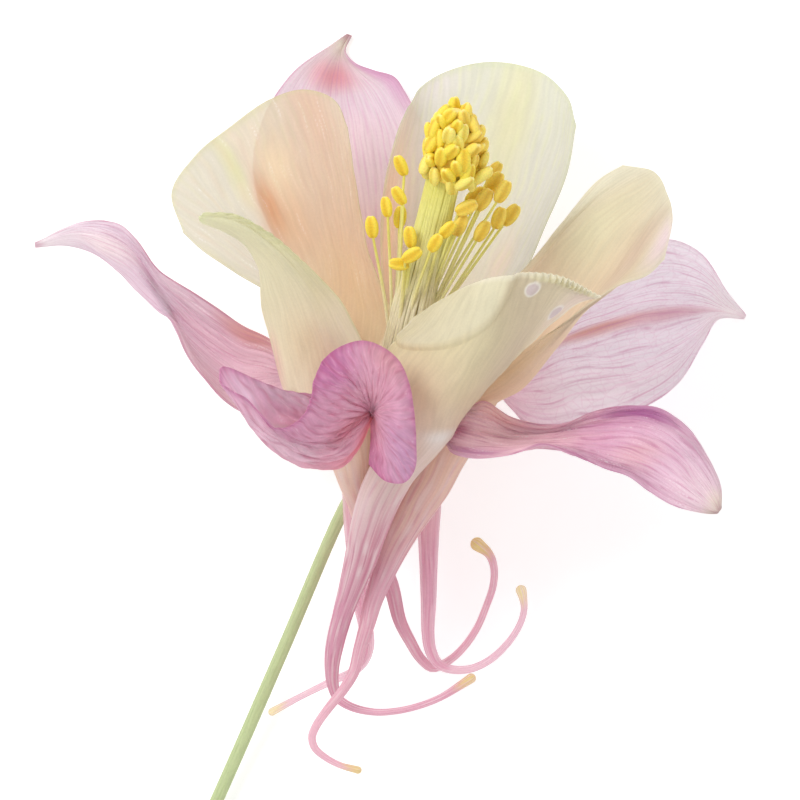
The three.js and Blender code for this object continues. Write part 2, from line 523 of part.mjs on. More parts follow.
function petalGeometry(petal) {
  const skin = new Skin();
  const sections = hornSections(petal);
  const ring = hornRing(sections[0], 0, THROAT.sides);
  ring.push(ring[0]);
  const closed = new THREE.CatmullRomCurve3(ring.slice(0, -1), true, "centripetal");
  const lines = petal.blade.map((line, g) => [
    closed.getPoint(g / (petal.blade.length - 1)),
    ...line.map((p) => point(...p)),
  ]);
  const grid = lattice(lines, petal.steps, THROAT.sides);
  grid[0] = ring;
  const [outer, inner] = addSheet(skin, grid, true);

  let upper = outer.slice(0, -1);
  sections.slice(1).forEach((section, k) => {
    const full = k < THROAT.rings + THROAT.fullSpans;
    const sides = full ? THROAT.sides : THROAT.sides / 2;
    const lower = hornRing(section, 0, sides).map((p) => skin.add(p));
    lower.forEach((_, j) => {
      const next = (j + 1) % sides;
      if (lower.length === upper.length) skin.quad(upper[j], lower[j], lower[next], upper[next]);
      else {
        const [a, b, c] = [upper[2 * j], upper[2 * j + 1], upper[(2 * j + 2) % upper.length]];
        skin.faces.push(a, lower[j], b, b, lower[j], lower[next], b, lower[next], c);
      }
    });
    upper = lower;
  });
  const last = sections[sections.length - 1];
  const before = sections[sections.length - 2];
  const onward = last.centre.clone().sub(before.centre).normalize();
  const knob = skin.add(last.centre.clone().addScaledVector(onward, last.size.x * 0.7));
  upper.forEach((_, j) => skin.faces.push(upper[j], knob, upper[(j + 1) % upper.length]));

  let wall = inner.slice(0, -1);
  const hollow = sections.slice(1, 1 + THROAT.hollowRings);
  for (const section of hollow) {
    const lower = hornRing(section, SHEET, THROAT.sides).map((p) => skin.add(p));
    lower.forEach((_, j) => {
      const next = (j + 1) % THROAT.sides;
      skin.quad(wall[j], wall[next], lower[next], lower[j]);
    });
    wall = lower;
  }
  const floor = skin.add(hollow[hollow.length - 1].centre);
  wall.forEach((_, j) => skin.faces.push(wall[j], wall[(j + 1) % wall.length], floor));
  return skin.geometry();
}

function sepalGeometry(sepal) {
  const skin = new Skin();
  const count = sepal.lines.length - 1;
  const lines = sepal.lines.map((line, g) => {
    const share = g / count;
    const claw = sepal.claw.map(([height, distance, angle, halfWidth]) =>
      inFlower(height, distance, angle).addScaledVector(sideways(angle), (share * 2 - 1) * halfWidth),
    );
    const tip = sepal.tip ? [point(...sepal.tip[0]).lerp(point(...sepal.tip[1]), share)] : [];
    return [...claw, ...line.map((p) => point(...p)), ...tip];
  });
  const grid = lattice(lines, sepal.steps ?? SEPAL_GRID.steps, sepal.columns ?? SEPAL_GRID.columns);
  const [outer, inner] = addSheet(skin, grid, false);
  for (let j = 0; j + 1 < outer.length; j++) skin.quad(outer[j + 1], outer[j], inner[j], inner[j + 1]);
  return skin.geometry();
}

// The receptacle is a low dome, and the stalk runs up into it.
function stalkGeometry() {
  const profile = [
    [0, -6.4], [STALK_RADIUS, -6.4], [1.2, -5.4], [RECEPTACLE_RADIUS, -4.4],
    [RECEPTACLE_RADIUS, -0.6], [1.7, 0.2], [1.2, 0.5], [0, 0.55],
  ].map(([radius, height]) => new THREE.Vector2(radius, height));
  const dome = new THREE.LatheGeometry(profile, 16);
  const upright = new THREE.Quaternion().setFromUnitVectors(point(0, 1, 0), AXIS);
  dome.applyQuaternion(upright).translate(...CENTRE.toArray());
  const path = smooth([inFlower(-2.0, 0, 0), ...STALK.map((p) => point(...p))]);
  const section = new THREE.Shape().absarc(0, 0, STALK_RADIUS, 0, 2 * Math.PI, false);
  const stalk = new THREE.ExtrudeGeometry(section, {
    steps: 18,
    curveSegments: 6,
    bevelEnabled: false,
    extrudePath: path,
  });
  return toGeometry(union([dome, stalk]));
}

// An anther: a small lozenge along `lean`, with its flat side towards `facing`.
function antherAt(place, lean, facing) {
  const anther = new THREE.SphereGeometry(1, 6, 3);
  anther.scale(ANTHER.halfWidth, ANTHER.halfLength, ANTHER.halfDepth);
  const up = lean.clone().normalize();
  const side = new THREE.Vector3().crossVectors(up, facing).normalize();
  const front = new THREE.Vector3().crossVectors(side, up);
  return anther.applyMatrix4(new THREE.Matrix4().makeBasis(side, up, front).setPosition(place));
}

// A round or ribbed column along the flower's axis, through [height, radius] pairs.
function columnGeometry(profile, sides, ridge) {
  const skin = new Skin();
  const rings = profile.map(([height, radius]) =>
    Array.from({ length: sides }, (_, j) =>
      skin.add(inFlower(height, radius + (j % 2 ? ridge : -ridge), (360 * j) / sides)),
    ),
  );
  rings.slice(1).forEach((ring, i) =>
    ring.forEach((_, j) => {
      const next = (j + 1) % sides;
      skin.quad(rings[i][next], ring[next], ring[j], rings[i][j]);
    }),
  );
  const foot = skin.add(inFlower(profile[0][0], 0, 0));
  const top = skin.add(inFlower(profile[profile.length - 1][0], 0, 0));
  const lastRing = rings[rings.length - 1];
  for (let j = 0; j < sides; j++) {
    const next = (j + 1) % sides;
    skin.faces.push(foot, rings[0][next], rings[0][j], top, lastRing[j], lastRing[next]);
  }
  return skin.geometry();
}

// The column of filaments, ribbed all round, with the loose stamens rooted in its foot.
function stamenGeometry() {
  const parts = [columnGeometry(COLUMN.profile, COLUMN.ridges * 2, COLUMN.ridgeDepth)];
  const section = new THREE.Shape().absarc(0, 0, FILAMENT_RADIUS, 0, 2 * Math.PI, false);
  const alongPath = (path) => ({ steps: 3, curveSegments: 2, bevelEnabled: false, extrudePath: path });
  const [footHeight, footRadius] = COLUMN.profile[0];
  for (const [at, towards] of LOOSE) {
    const anther = point(...at);
    const lean = point(...towards).normalize();
    const below = anther.clone().addScaledVector(lean, -ANTHER.halfLength * 0.7);
    const off = below.clone().sub(CENTRE);
    off.addScaledVector(AXIS, -off.dot(AXIS)).normalize();
    const root = inFlower(footHeight + 0.6, 0, 0).addScaledVector(off, footRadius * 0.55);
    const middle = root.clone().lerp(below, 0.5).addScaledVector(off, -0.25);
    const filament = new THREE.ExtrudeGeometry(section, alongPath(smooth([root, middle, below])));
    parts.push(filament, antherAt(anther, lean, FRONT));
  }
  return toGeometry(union(parts));
}

// The dense head of anthers, in a spiral over a slim core. It sits a little to the right of the column,
// which enters it with some play.
function headGeometry() {
  const goldenAngle = 137.508;
  const length = HEAD.top - HEAD.foot;
  const bulge = (share) => Math.sqrt(Math.sin(Math.PI * (0.2 + share * 0.78)));
  const stations = [0, 0.2, 0.45, 0.7, 0.9, 1];
  const heightAt = (share) => HEAD.foot + 1.5 + share * (length - 2.5);
  const core = stations.map((share) => [heightAt(share), HEAD.radius * HEAD.core * bulge(share)]);
  const parts = [columnGeometry(core, 12, 0)];
  for (let i = 0; i < HEAD.anthers; i++) {
    const share = (i + 0.5) / HEAD.anthers;
    const angle = i * goldenAngle;
    const place = inFlower(heightAt(share), HEAD.radius * 0.92 * bulge(share), angle);
    const lean = AXIS.clone().addScaledVector(outward(angle), 0.25 - 0.5 * share);
    parts.push(antherAt(place, lean, outward(angle)));
  }
  const topOfColumn = COLUMN.profile[COLUMN.profile.length - 1];
  const play = CLEARANCE + COLUMN.ridgeDepth;
  const socket = columnGeometry(
    [[HEAD.foot - 2, topOfColumn[1] + play], [topOfColumn[0] + CLEARANCE, topOfColumn[1] + play]],
    COLUMN.ridges,
    0,
  );
  const shift = RIGHT.clone().multiplyScalar(HEAD.shift);
  return toGeometry(union(parts.map((part) => part.translate(...shift.toArray()))).subtract(toSolid(socket)));
}

// Flattens the spot that lies on the surface.
function rested(geometry) {
  const reach = 200;
  const below = new THREE.BoxGeometry(reach, reach, reach).translate(0, 0, -REST_HEIGHT - reach / 2);
  return toGeometry(toSolid(geometry).subtract(toSolid(below)));
}

// ---------------------------------------------------------------- the plant

const flower = new THREE.Group();
const place = (name, geometry, color, roughness) => {
  const mesh = new THREE.Mesh(geometry, new THREE.MeshStandardMaterial({ color, roughness, metalness: 0 }));
  mesh.name = name;
  flower.add(mesh);
};

place("stalk", rested(stalkGeometry()), 0xb4c987, 0.6);
for (const petal of PETALS) place(petal.name, petalGeometry(petal), 0xefe6c4, 0.6);
for (const sepal of SEPALS) place(sepal.name, rested(sepalGeometry(sepal)), 0xd9a0c0, 0.6);
place("stamens", stamenGeometry(), 0xdad58a, 0.6);
place("anther_head", headGeometry(), 0xe3c62c, 0.7);
flower.position.set(-MIDDLE.x, -MIDDLE.y, REST_HEIGHT);

export default flower;
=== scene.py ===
# %% [markdown]
# # A long-spurred columbine flower, picked and laid down
#
# The flower is made of thin living sheets, so this lesson is about three things: drawing a sheet with a few
# smooth lines, giving it two faces and a fine rim, and letting light come through it. The construction model
# already says where each petal and sepal is. We load it first, as a fixed frame, and never move it: every
# piece that we make here stands in the place of one of its solids.

import math

import bmesh
import bpy
import numpy as np
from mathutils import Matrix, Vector


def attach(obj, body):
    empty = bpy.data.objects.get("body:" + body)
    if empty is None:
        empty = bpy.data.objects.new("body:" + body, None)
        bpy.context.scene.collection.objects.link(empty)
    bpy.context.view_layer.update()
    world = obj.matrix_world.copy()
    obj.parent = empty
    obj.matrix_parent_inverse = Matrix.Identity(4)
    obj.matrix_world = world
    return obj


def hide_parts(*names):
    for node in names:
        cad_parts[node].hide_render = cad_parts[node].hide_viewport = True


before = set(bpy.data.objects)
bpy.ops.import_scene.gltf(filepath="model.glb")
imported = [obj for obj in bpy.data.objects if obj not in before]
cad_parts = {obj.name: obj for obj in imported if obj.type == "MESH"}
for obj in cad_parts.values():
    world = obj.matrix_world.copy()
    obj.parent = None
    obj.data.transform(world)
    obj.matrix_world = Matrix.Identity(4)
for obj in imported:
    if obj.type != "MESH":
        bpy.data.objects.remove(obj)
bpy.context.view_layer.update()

# %% [markdown]
# ## Camera
#
# The flower lies on its side, so we look straight down on it. A very long lens far above it keeps the near
# and the far petals in true proportion, as a copying stand does. Blender's camera looks along its own -Z with
# +Y up, which already is what we want, so it needs no turn at all.

# %% The camera
MM = 0.001
MIDDLE = np.array([-0.846, -14.778, 0.0])  # middle of the flower's outline, in the drawing's millimetres
REST_HEIGHT = 19.0  # the drawing's zero height, above the table
VIEW_WIDTH = 80.17  # mm of the table that the view takes in
CAMERA_HEIGHT = 3.5  # m
SENSOR = 36.0  # mm


def to_frame(points):
    """Points of the drawing, in millimetres, as places in the frame, in metres."""
    return (np.asarray(points, float) - MIDDLE + [0.0, 0.0, REST_HEIGHT]) * MM


def add_object(name, data):
    added = bpy.data.objects.new(name, data)
    bpy.context.collection.objects.link(added)
    return added


camera = add_object("camera", bpy.data.cameras.new("camera"))
camera.data.sensor_width = SENSOR
camera.data.lens = SENSOR * CAMERA_HEIGHT / (VIEW_WIDTH * MM)
camera.data.clip_end = 4 * CAMERA_HEIGHT
camera.location = Vector(to_frame([0, 0, -REST_HEIGHT])) + Vector((0, 0, CAMERA_HEIGHT))
bpy.context.scene.camera = camera
print("lens:", round(camera.data.lens), "mm at", CAMERA_HEIGHT, "m")

# %% [markdown]
# ## Light and table
#
# The table is a pale sheet that glows a little, like the opal glass of a light table. Petals are only a
# quarter of a millimetre thick, and this light from below is what makes them look alive. It stays weak enough
# for the flower to throw a faint, soft shadow. A large soft light above and to the left models the folds, and
# the world fills in the rest. The colours are shown as they are, with no film curve, because cream on white
# needs its last few per cent. The small helpers here serve all later materials too.

# %% Lamps, world and table
WHITE = (1.0, 1.0, 1.0, 1.0)
TABLE_GREY = 0.82
TABLE_GLOW = 0.38
ROOM_LIGHT = 0.70
TABLE_REACH = 3.0  # m, from its middle to each side

bpy.context.scene.view_settings.view_transform = "Standard"


def soft_lamp(name, place, size, watts):
    """A round soft lamp that shines on the flower."""
    light = bpy.data.lights.new(name, "AREA")
    light.shape = "DISK"
    light.size = size
    light.energy = watts
    lamp = add_object(name, light)
    lamp.location = place
    lamp.rotation_euler = (-Vector(place)).to_track_quat("-Z", "Y").to_euler()


def feed(tree, node, values):
    """Into each named or numbered socket of a node goes a plain value, or a link from another socket."""
    for name, value in values.items():
        if isinstance(value, bpy.types.NodeSocket):
            tree.links.new(value, node.inputs[name])
        else:
            node.inputs[name].default_value = value


def new_material(name):
    """A material, the network inside it, and the shader in that."""
    material = bpy.data.materials.new(name)
    material.use_nodes = True
    return material, material.node_tree, material.node_tree.nodes["Principled BSDF"]


soft_lamp("window", place=(-0.40, 0.35, 0.60), size=0.40, watts=3.0)
soft_lamp("fill", place=(0.50, -0.25, 0.60), size=0.60, watts=0.8)

room = bpy.data.worlds.new("soft_room")
room.use_nodes = True
feed(room.node_tree, room.node_tree.nodes["Background"], {"Color": WHITE, "Strength": ROOM_LIGHT})
bpy.context.scene.world = room

opal_glass, tree, glass = new_material("opal_glass")
feed(tree, glass, {"Base Color": (TABLE_GREY, TABLE_GREY, TABLE_GREY, 1.0), "Roughness": 0.9})
feed(tree, glass, {"Emission Color": WHITE, "Emission Strength": TABLE_GLOW})

corners = [(TABLE_REACH * x, TABLE_REACH * y, 0) for x, y in ((-1, -1), (1, -1), (1, 1), (-1, 1))]
top = bpy.data.meshes.new("table")
top.from_pydata(corners, [], [(0, 1, 2, 3)])
top.materials.append(opal_glass)
table = add_object("table", top)
print("table:", tuple(table.dimensions))

# %% [markdown]
# ## Smooth lines
#
# Every form of the flower starts as a handful of given points. A centripetal Catmull-Rom line goes
# through all of its points and doesn't overshoot where they lie close together, so it suits the outline of a
# leaf. We walk along such lines in equal steps, and join several of them into a grid.

# %% Lines through points
FINE_STEPS = 500  # a line's length is measured in this many steps


def unit(vector):
    return vector / np.linalg.norm(vector)


def smooth(share):
    """A share from 0 to 1 that starts and ends gently."""
    share = np.clip(share, 0, 1)
    return share * share * (3 - 2 * share)


def on_line(knots, shares, lead=None):
    """Places on the smooth line through the knots. A share of 0 is the first knot and 1 is the last.

    A lead is a point before the first knot, which bends the line's start into its direction.
    """
    knots = np.asarray(knots, float)
    first = 2 * knots[0] - knots[1] if lead is None else lead
    row = np.vstack([first, knots, 2 * knots[-1] - knots[-2]])
    spans = len(knots) - 1
    way = np.clip(np.asarray(shares, float), 0, 1) * spans
    start = np.minimum(way.astype(int), spans - 1)
    part = (way - start)[:, None]
    a, b, c, d = (row[start + k] for k in range(4))
    gaps = (np.linalg.norm(q - p, axis=1, keepdims=True) for p, q in ((a, b), (b, c), (c, d)))
    before, here, after = (np.maximum(np.sqrt(gap), 1e-4) for gap in gaps)
    leave = ((b - a) / before - (c - a) / (before + here) + (c - b) / here) * here
    arrive = ((c - b) / here - (d - b) / (here + after) + (d - c) / after) * here
    square, cube = part**2, part**3
    ends = b * (2 * cube - 3 * square + 1) + c * (3 * square - 2 * cube)
    return ends + leave * (cube - 2 * square + part) + arrive * (cube - square)


def even_shares(knots, steps, lead=None):
    """The shares at which the line through the knots has gone equal distances."""
    fine = np.linspace(0, 1, FINE_STEPS + 1)
    places = on_line(knots, fine, lead)
    gone = np.concatenate([[0], np.cumsum(np.linalg.norm(np.diff(places, axis=0), axis=1))])
    return np.interp(np.linspace(0, gone[-1], steps + 1), gone, fine)


def lattice(lines, steps, columns, leads=None):
    """A grid of places: each line is walked in equal steps, and each step is joined across the lines."""
    leads = [None] * len(lines) if leads is None else leads
    along = np.array([on_line(k, even_shares(k, steps, lead), lead) for k, lead in zip(lines, leads)])
    across = np.linspace(0, 1, columns + 1)
    return np.array([on_line(along[:, i], across) for i in range(steps + 1)])


test_line = [[0, 0, 0], [1, 1, 0], [3, 1, 0]]
print("equal steps along a line:", on_line(test_line, even_shares(test_line, 3)).round(2).tolist())

# %% [markdown]
# ## Skins
#
# A mesh is a list of points and of faces between them. `Skin` collects both while a piece grows, one grid
# after another, with two numbers for each corner: how far across the organ it is, and how far along it.
# Blender keeps such pairs as a UV map, and the materials use them to lay veins along a petal however it
# bends. Grids that meet have points in common, and these are welded at the end, which also closes the rings.

# %% The skin collector
WELD = 1e-7  # m, points closer than this are one
SHARP = math.radians(55)  # edges that turn more than this stay crisp
LOWEST = 0.02  # mm above the table, where a petal rests on it
SHEET_MAP = "sheet"


class Skin:
    """The grids of one piece."""

    def __init__(self):
        self.points = []
        self.faces = []
        self.maps = []
        self.finishes = []
        self.count = 0

    def add(self, points, maps, inside=False, finish=0):
        """Four-sided faces between the points of a grid. Inside faces look the other way."""
        rows, columns = points.shape[0] - 1, points.shape[1] - 1
        numbers = self.count + np.arange(points[..., 0].size).reshape(points.shape[:-1])
        corners = ((0, 0), (0, 1), (1, 1), (1, 0))
        if inside:
            corners = corners[::-1]
        for values, store in ((numbers[..., None], self.faces), (maps, self.maps)):
            quads = [values[i : i + rows, j : j + columns] for i, j in corners]
            store.append(np.stack(quads, axis=2).reshape(rows * columns, 4, -1))
        self.points.append(points.reshape(-1, 3))
        self.finishes.append(np.full(rows * columns, finish))
        self.count += numbers.size

    def piece(self, name, materials, node, slot):
        """The finished object. It stands in the place of the frame's node. The slot is not used."""
        places = to_frame(np.vstack(self.points))
        places[:, 2] = np.maximum(places[:, 2], LOWEST * MM)
        mesh = bpy.data.meshes.new(name)
        mesh.from_pydata(places.tolist(), [], np.vstack(self.faces)[..., 0].tolist())
        mesh.uv_layers.new(name=SHEET_MAP).data.foreach_set("uv", np.vstack(self.maps).ravel())
        mesh.polygons.foreach_set("material_index", np.concatenate(self.finishes))
        for material in materials:
            mesh.materials.append(material)
        welded = bmesh.new()
        welded.from_mesh(mesh)
        bmesh.ops.remove_doubles(welded, verts=welded.verts, dist=WELD)
        welded.to_mesh(mesh)
        welded.free()
        mesh.shade_smooth()
        mesh.set_sharp_from_angle(angle=SHARP)
        piece = add_object(name, mesh)
        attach(piece, "root")
        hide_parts(node)
        print(f"{name}: {len(mesh.polygons)} faces, in the place of {node}")


def grid_map(rows, columns, first=0.0, last=1.0):
    """The across and along numbers of a grid with that many steps."""
    along, across = np.linspace(first, last, rows + 1), np.linspace(0, 1, columns + 1)
    return np.stack(np.meshgrid(across, along), axis=2)


print("a small map:", grid_map(1, 2).tolist())

# %% [markdown]
# A petal is a sheet with two faces. From one grid in its middle we push the outer face one way and the inner
# face the other, by half the thickness, and close the rim between them. A real petal thins towards its edge,
# so the thickness is a grid of its own. Where the sheet is rolled into a horn, its rows are rings.

# %% Two faces and a rim
SHEET = 0.30  # mm, a petal or sepal in its middle
RIM = 0.12  # mm, at its margin
THIN_LATE = 8  # the higher this is, the nearer to the margin the sheet gets thin


def face_normals(grid, rings=0):
    """The outward direction at each place of a grid. Its first rows may be rings."""
    after = np.concatenate([grid[:, 1:], grid[:, -1:]], axis=1)
    before = np.concatenate([grid[:, :1], grid[:, :-1]], axis=1)
    after[:rings, -1] = grid[:rings, 1]
    before[:rings, 0] = grid[:rings, -2]
    forward = np.concatenate([grid[1:], grid[-1:]]) - np.concatenate([grid[:1], grid[:-1]])
    normals = np.cross(after - before, forward)
    normals /= np.maximum(np.linalg.norm(normals, axis=2, keepdims=True), 1e-9)
    normals[:rings, 0] = normals[:rings, -1] = (normals[:rings, 0] + normals[:rings, -1]) / 2
    return normals


def thickness_of(rows, columns):
    """The thickness at each place of a blade, which thins towards its sides and its far rim."""
    sides = np.abs(np.linspace(-1, 1, columns + 1))[None, :]
    length = np.linspace(0, 1, rows + 1)[:, None]
    return SHEET - (SHEET - RIM) * np.maximum(sides, length) ** THIN_LATE


def add_rim(skin, outer, inner, maps, first_row=0, closed=False):
    """The narrow strip between both faces: up one margin, along the far rim, and down the other margin."""
    rows, columns = outer.shape[0] - 1, outer.shape[1] - 1
    way = [(i, 0) for i in range(first_row, rows + 1)]
    way += [(rows, j) for j in range(1, columns + 1)]
    way += [(i, columns) for i in range(rows - 1, first_row - 1, -1)]
    if closed:
        way += [(0, j) for j in range(columns - 1, -1, -1)]
    i, j = np.array(way).T
    skin.add(np.stack([outer[i, j], inner[i, j]]), np.stack([maps[i, j], maps[i, j]]))


def round_end(ring, reach, steps=5):
    """Rows that close a ring with a round end. They start at its tip, which stands out by the reach."""
    centre = ring[:-1].mean(axis=0)
    turns = np.linspace(np.pi / 2, 0, steps + 1)[:-1]
    return np.array([centre + reach * math.sin(t) + (ring - centre) * math.cos(t) for t in turns])


print("thickness from the middle to the edge:", thickness_of(2, 8)[1, 4:].round(2))

# %% [markdown]
# A living sheet is never quite smooth. These small helpers give heights, in millimetres, that push its places
# along their normals. There are ribs that run along it, fine wrinkles that come and go, patches of ridges,
# patches that are lifted as a whole, a crease between two places, and a soft unevenness. All chance is
# seeded, so it comes out the same each time. Each organ lists its reliefs as (helper, values...).

# %% Ribs, wrinkles, ridges, creases and ripples
WRINKLE_LAYERS = 6
WRINKLE_LOSS = 0.8  # share of the wrinkles that is gone where a sheet is smooth
RIPPLE_WAVES = 12
RELIEF_START = 0.15  # share of an organ, from the throat or claw, in which its relief grows


def ribs(across, along, count, height):
    """Lengthwise ribs, which wander a little and fade out at both ends of the sheet."""
    wander = 0.25 * np.sin(2 * np.pi * along * 1.3 + 7 * across)
    fade = np.sin(np.pi * np.clip(along, 0, 1)) ** 0.5
    return height * fade * np.cos(2 * np.pi * (count * across + wander))


def wrinkles(across, along, seed, count, height, smooth_from=2.0):
    """Fine lengthwise wrinkles that wander, start and end, as on a sheet that begins to wilt.

    Beyond smooth_from, a share of the way across, only a trace of them is left.
    """
    draw = np.random.default_rng(seed)
    total = np.zeros_like(across)
    for _ in range(WRINKLE_LAYERS):
        lanes = count * draw.uniform(0.7, 1.4)
        swing, turns, start = draw.uniform(0.5, 1.2), draw.uniform(0.5, 1.6), draw.uniform()
        sway = swing * np.sin(2 * np.pi * (turns * along + across + start))
        lengthwise, crosswise, start = draw.uniform(1, 2.5), draw.uniform(1, 2.5), draw.uniform()
        power = np.sin(np.pi * (lengthwise * along + crosswise * across + start)) ** 2
        total += power * np.cos(2 * np.pi * (lanes * across + sway + draw.uniform()))
    smoothed = 1 - WRINKLE_LOSS * np.clip((across - smooth_from) / 0.12, 0, 1)
    return total * height / math.sqrt(WRINKLE_LAYERS) * smoothed


def ridges(across, along, turns, middle, spread, height):
    """A patch of parallel ridges round a place. With no turns it is one soft dome."""
    aside, ahead = across - middle[0], along - middle[1]
    patch = np.exp(-((aside / spread[0]) ** 2) - (ahead / spread[1]) ** 2)
    return height * patch * np.cos(2 * np.pi * (turns[0] * aside + turns[1] * ahead))


def plateau(across, along, middle, spread, height):
    """A patch that is lifted as a whole, with a short slope all round."""
    off = np.hypot((across - middle[0]) / spread[0], (along - middle[1]) / spread[1])
    return height * smooth((1.03 - off) / 0.07)


def crease(across, along, start, end, width, height):
    """A fold between two places, each (across, along): a ridge, or a furrow if its height is below zero."""
    start, end = np.array(start), np.array(end)
    way = end - start
    share = ((across - start[0]) * way[0] + (along - start[1]) * way[1]) / (way @ way)
    near = np.clip(share, 0, 1)
    off = np.hypot(across - start[0] - near * way[0], along - start[1] - near * way[1])
    return height * np.exp(-((off / width) ** 2)) * np.sin(np.pi * np.clip(share, 0.04, 0.96))


def ripples(across, along, seed, waves, height):
    """Soft unevenness, as a sum of waves in seeded directions."""
    draw = np.random.default_rng(seed)
    total = np.zeros_like(across)
    for _ in range(RIPPLE_WAVES):
        turns = draw.uniform(0.4, 1.0, 2) * waves * draw.choice([-1, 1], 2)
        total += np.cos(2 * np.pi * (turns[0] * across + turns[1] * along + draw.uniform()))
    return total * height / math.sqrt(RIPPLE_WAVES)


def heights(maps, seed, reliefs):
    """The sum of a sheet's reliefs. It is none at all at the throat or claw, where organs meet."""
    across, along = maps[..., 0], maps[..., 1]
    total = ripples(across, along, seed, waves=2.5, height=0.10)
    total += ripples(across, along, seed + 1, waves=7, height=0.03)
    for shape, *values in reliefs:
        total += shape(across, along, *values)
    return total * np.clip(along / RELIEF_START, 0, 1) ** 2


wave = ridges(np.array([0.0, 0.1]), 0.5, turns=(5, 0), middle=(0, 0.5), spread=(1, 1), height=1.0)
print("half a wave beside a ridge:", wave.round(2))

# %% [markdown]
# ## Paint from nodes
#
# A material in Blender is a small network. We already have `feed`, which puts a number or a link into a
# socket. More short helpers make a sum, a mix of colours, a soft step and a noise, so that the wiring stays
# readable. Colours are written as we see them, from 0 to 255, and turned into the linear light that shaders
# count in.

# %% Helpers for nodes
MIX_A, MIX_B, MIX_RESULT = 6, 7, 2  # the colour sockets of a Mix node


def ink(red, green, blue):
    """A colour from how it looks on a screen."""
    seen = np.array([red, green, blue]) / 255
    light = np.where(seen <= 0.04045, seen / 12.92, ((seen + 0.055) / 1.055) ** 2.4)
    return (*light.tolist(), 1.0)


def calc(tree, operation, *values):
    node = tree.nodes.new("ShaderNodeMath")
    node.operation = operation
    feed(tree, node, dict(enumerate(values)))
    return node.outputs["Value"]


def times(tree, first, second):
    return calc(tree, "MULTIPLY", first, second)


def blend(tree, factor, first, second, way="MIX"):
    node = tree.nodes.new("ShaderNodeMix")
    node.data_type = "RGBA"
    node.blend_type = way
    feed(tree, node, {"Factor": factor, MIX_A: first, MIX_B: second})
    return node.outputs[MIX_RESULT]


def soft_step(tree, value, start, end, low=0.0, high=1.0):
    """A smooth change from low to high, while the value goes from start to end."""
    node = tree.nodes.new("ShaderNodeMapRange")
    node.interpolation_type = "SMOOTHSTEP"
    feed(tree, node, {"Value": value, "From Min": start, "From Max": end, "To Min": low, "To Max": high})
    return node.outputs["Result"]


def close_to(tree, distance, width):
    """1 where the distance is none, and 0 from the width on."""
    return soft_step(tree, distance, 0.0, width, 1.0, 0.0)


def noise(tree, vector, scale):
    node = tree.nodes.new("ShaderNodeTexNoise")
    feed(tree, node, {"Vector": vector, "Scale": scale, "Detail": 1.0})
    return node.outputs["Fac"]


def joined(tree, x, y, z=0.0):
    node = tree.nodes.new("ShaderNodeCombineXYZ")
    feed(tree, node, {"X": x, "Y": y, "Z": z})
    return node.outputs["Vector"]


def shaded(tree, colour, shade):
    """The colour, made lighter or darker by a number near 1."""
    return blend(tree, 1.0, colour, joined(tree, shade, shade, shade), "MULTIPLY")


print("a pale cream in linear light:", [round(v, 3) for v in ink(235, 230, 205)])

# %% [markdown]
# What several materials need is built once, as a node group with named sockets. The first group says where a
# spot of the sheet is, with a slight seeded wander, so that no painted edge is a ruled line.

# %% Groups: make one, use one, and the place on a sheet


def make_group(name, inputs, wire):
    """A new node group. Inside it, wire turns the given sockets into a dictionary of results."""
    group = bpy.data.node_groups.new(name, "ShaderNodeTree")
    for socket, value in inputs.items():
        added = group.interface.new_socket(name=socket, in_out="INPUT", socket_type="NodeSocketFloat")
        added.default_value = value
    results = wire(group, group.nodes.new("NodeGroupInput").outputs)
    for socket in results:
        group.interface.new_socket(name=socket, in_out="OUTPUT", socket_type="NodeSocketFloat")
    feed(group, group.nodes.new("NodeGroupOutput"), results)
    print("group:", name)
    return group


def use_group(tree, group, **values):
    node = tree.nodes.new("ShaderNodeGroup")
    node.node_tree = group
    feed(tree, node, values)
    return node.outputs


def wire_place(tree, given):
    chart = tree.nodes.new("ShaderNodeUVMap")
    chart.uv_map = SHEET_MAP
    parts = tree.nodes.new("ShaderNodeSeparateXYZ")
    feed(tree, parts, {"Vector": chart.outputs["UV"]})
    wave = calc(tree, "SUBTRACT", noise(tree, chart.outputs["UV"], 5.0), 0.5)
    step = times(tree, wave, given["Wander"])
    ways = {"Across": "X", "Along": "Y"}
    return {name: calc(tree, "ADD", parts.outputs[axis], step) for name, axis in ways.items()}


PLACE = make_group("place_on_sheet", {"Wander": 0.02}, wire_place)

# %% [markdown]
# Petals have veins that fan out from the throat and fork on the way. On a map of the sheet they are straight
# lines of equal spacing, so a distance to the nearest whole number draws them. A second, finer set that only
# starts further along looks like the forks. A stretched cell pattern gives the net between them.

# %% Groups: veins, net, spots and grain
HERE = {"Across": 0.5, "Along": 0.5}


def stretched(tree, given):
    """The sheet's map, stretched so that it holds a count of cells across and another along."""
    lanes = times(tree, given["Across"], given["Count"])
    return joined(tree, lanes, times(tree, given["Along"], given["Length"]))


def wire_veins(tree, given):
    lanes = times(tree, given["Across"], given["Count"])
    sway = noise(tree, joined(tree, times(tree, lanes, 0.35), times(tree, given["Along"], 5.0)), 1.0)
    bend = times(tree, calc(tree, "SUBTRACT", sway, 0.5), given["Waver"])
    nearest = calc(tree, "PINGPONG", calc(tree, "ADD", lanes, bend), 0.5)
    line = close_to(tree, nearest, given["Width"])
    power = soft_step(tree, calc(tree, "PINGPONG", times(tree, sway, 5.0), 0.5), 0.1, 0.4, 0.3, 1.0)
    begun = soft_step(tree, given["Along"], given["Start"], given["Finish"])
    return {"Mask": times(tree, times(tree, line, power), begun)}


def wire_net(tree, given):
    cells = tree.nodes.new("ShaderNodeTexVoronoi")
    cells.feature = "DISTANCE_TO_EDGE"
    feed(tree, cells, {"Scale": 1.0, "Vector": stretched(tree, given)})
    return {"Mask": close_to(tree, cells.outputs["Distance"], given["Width"])}


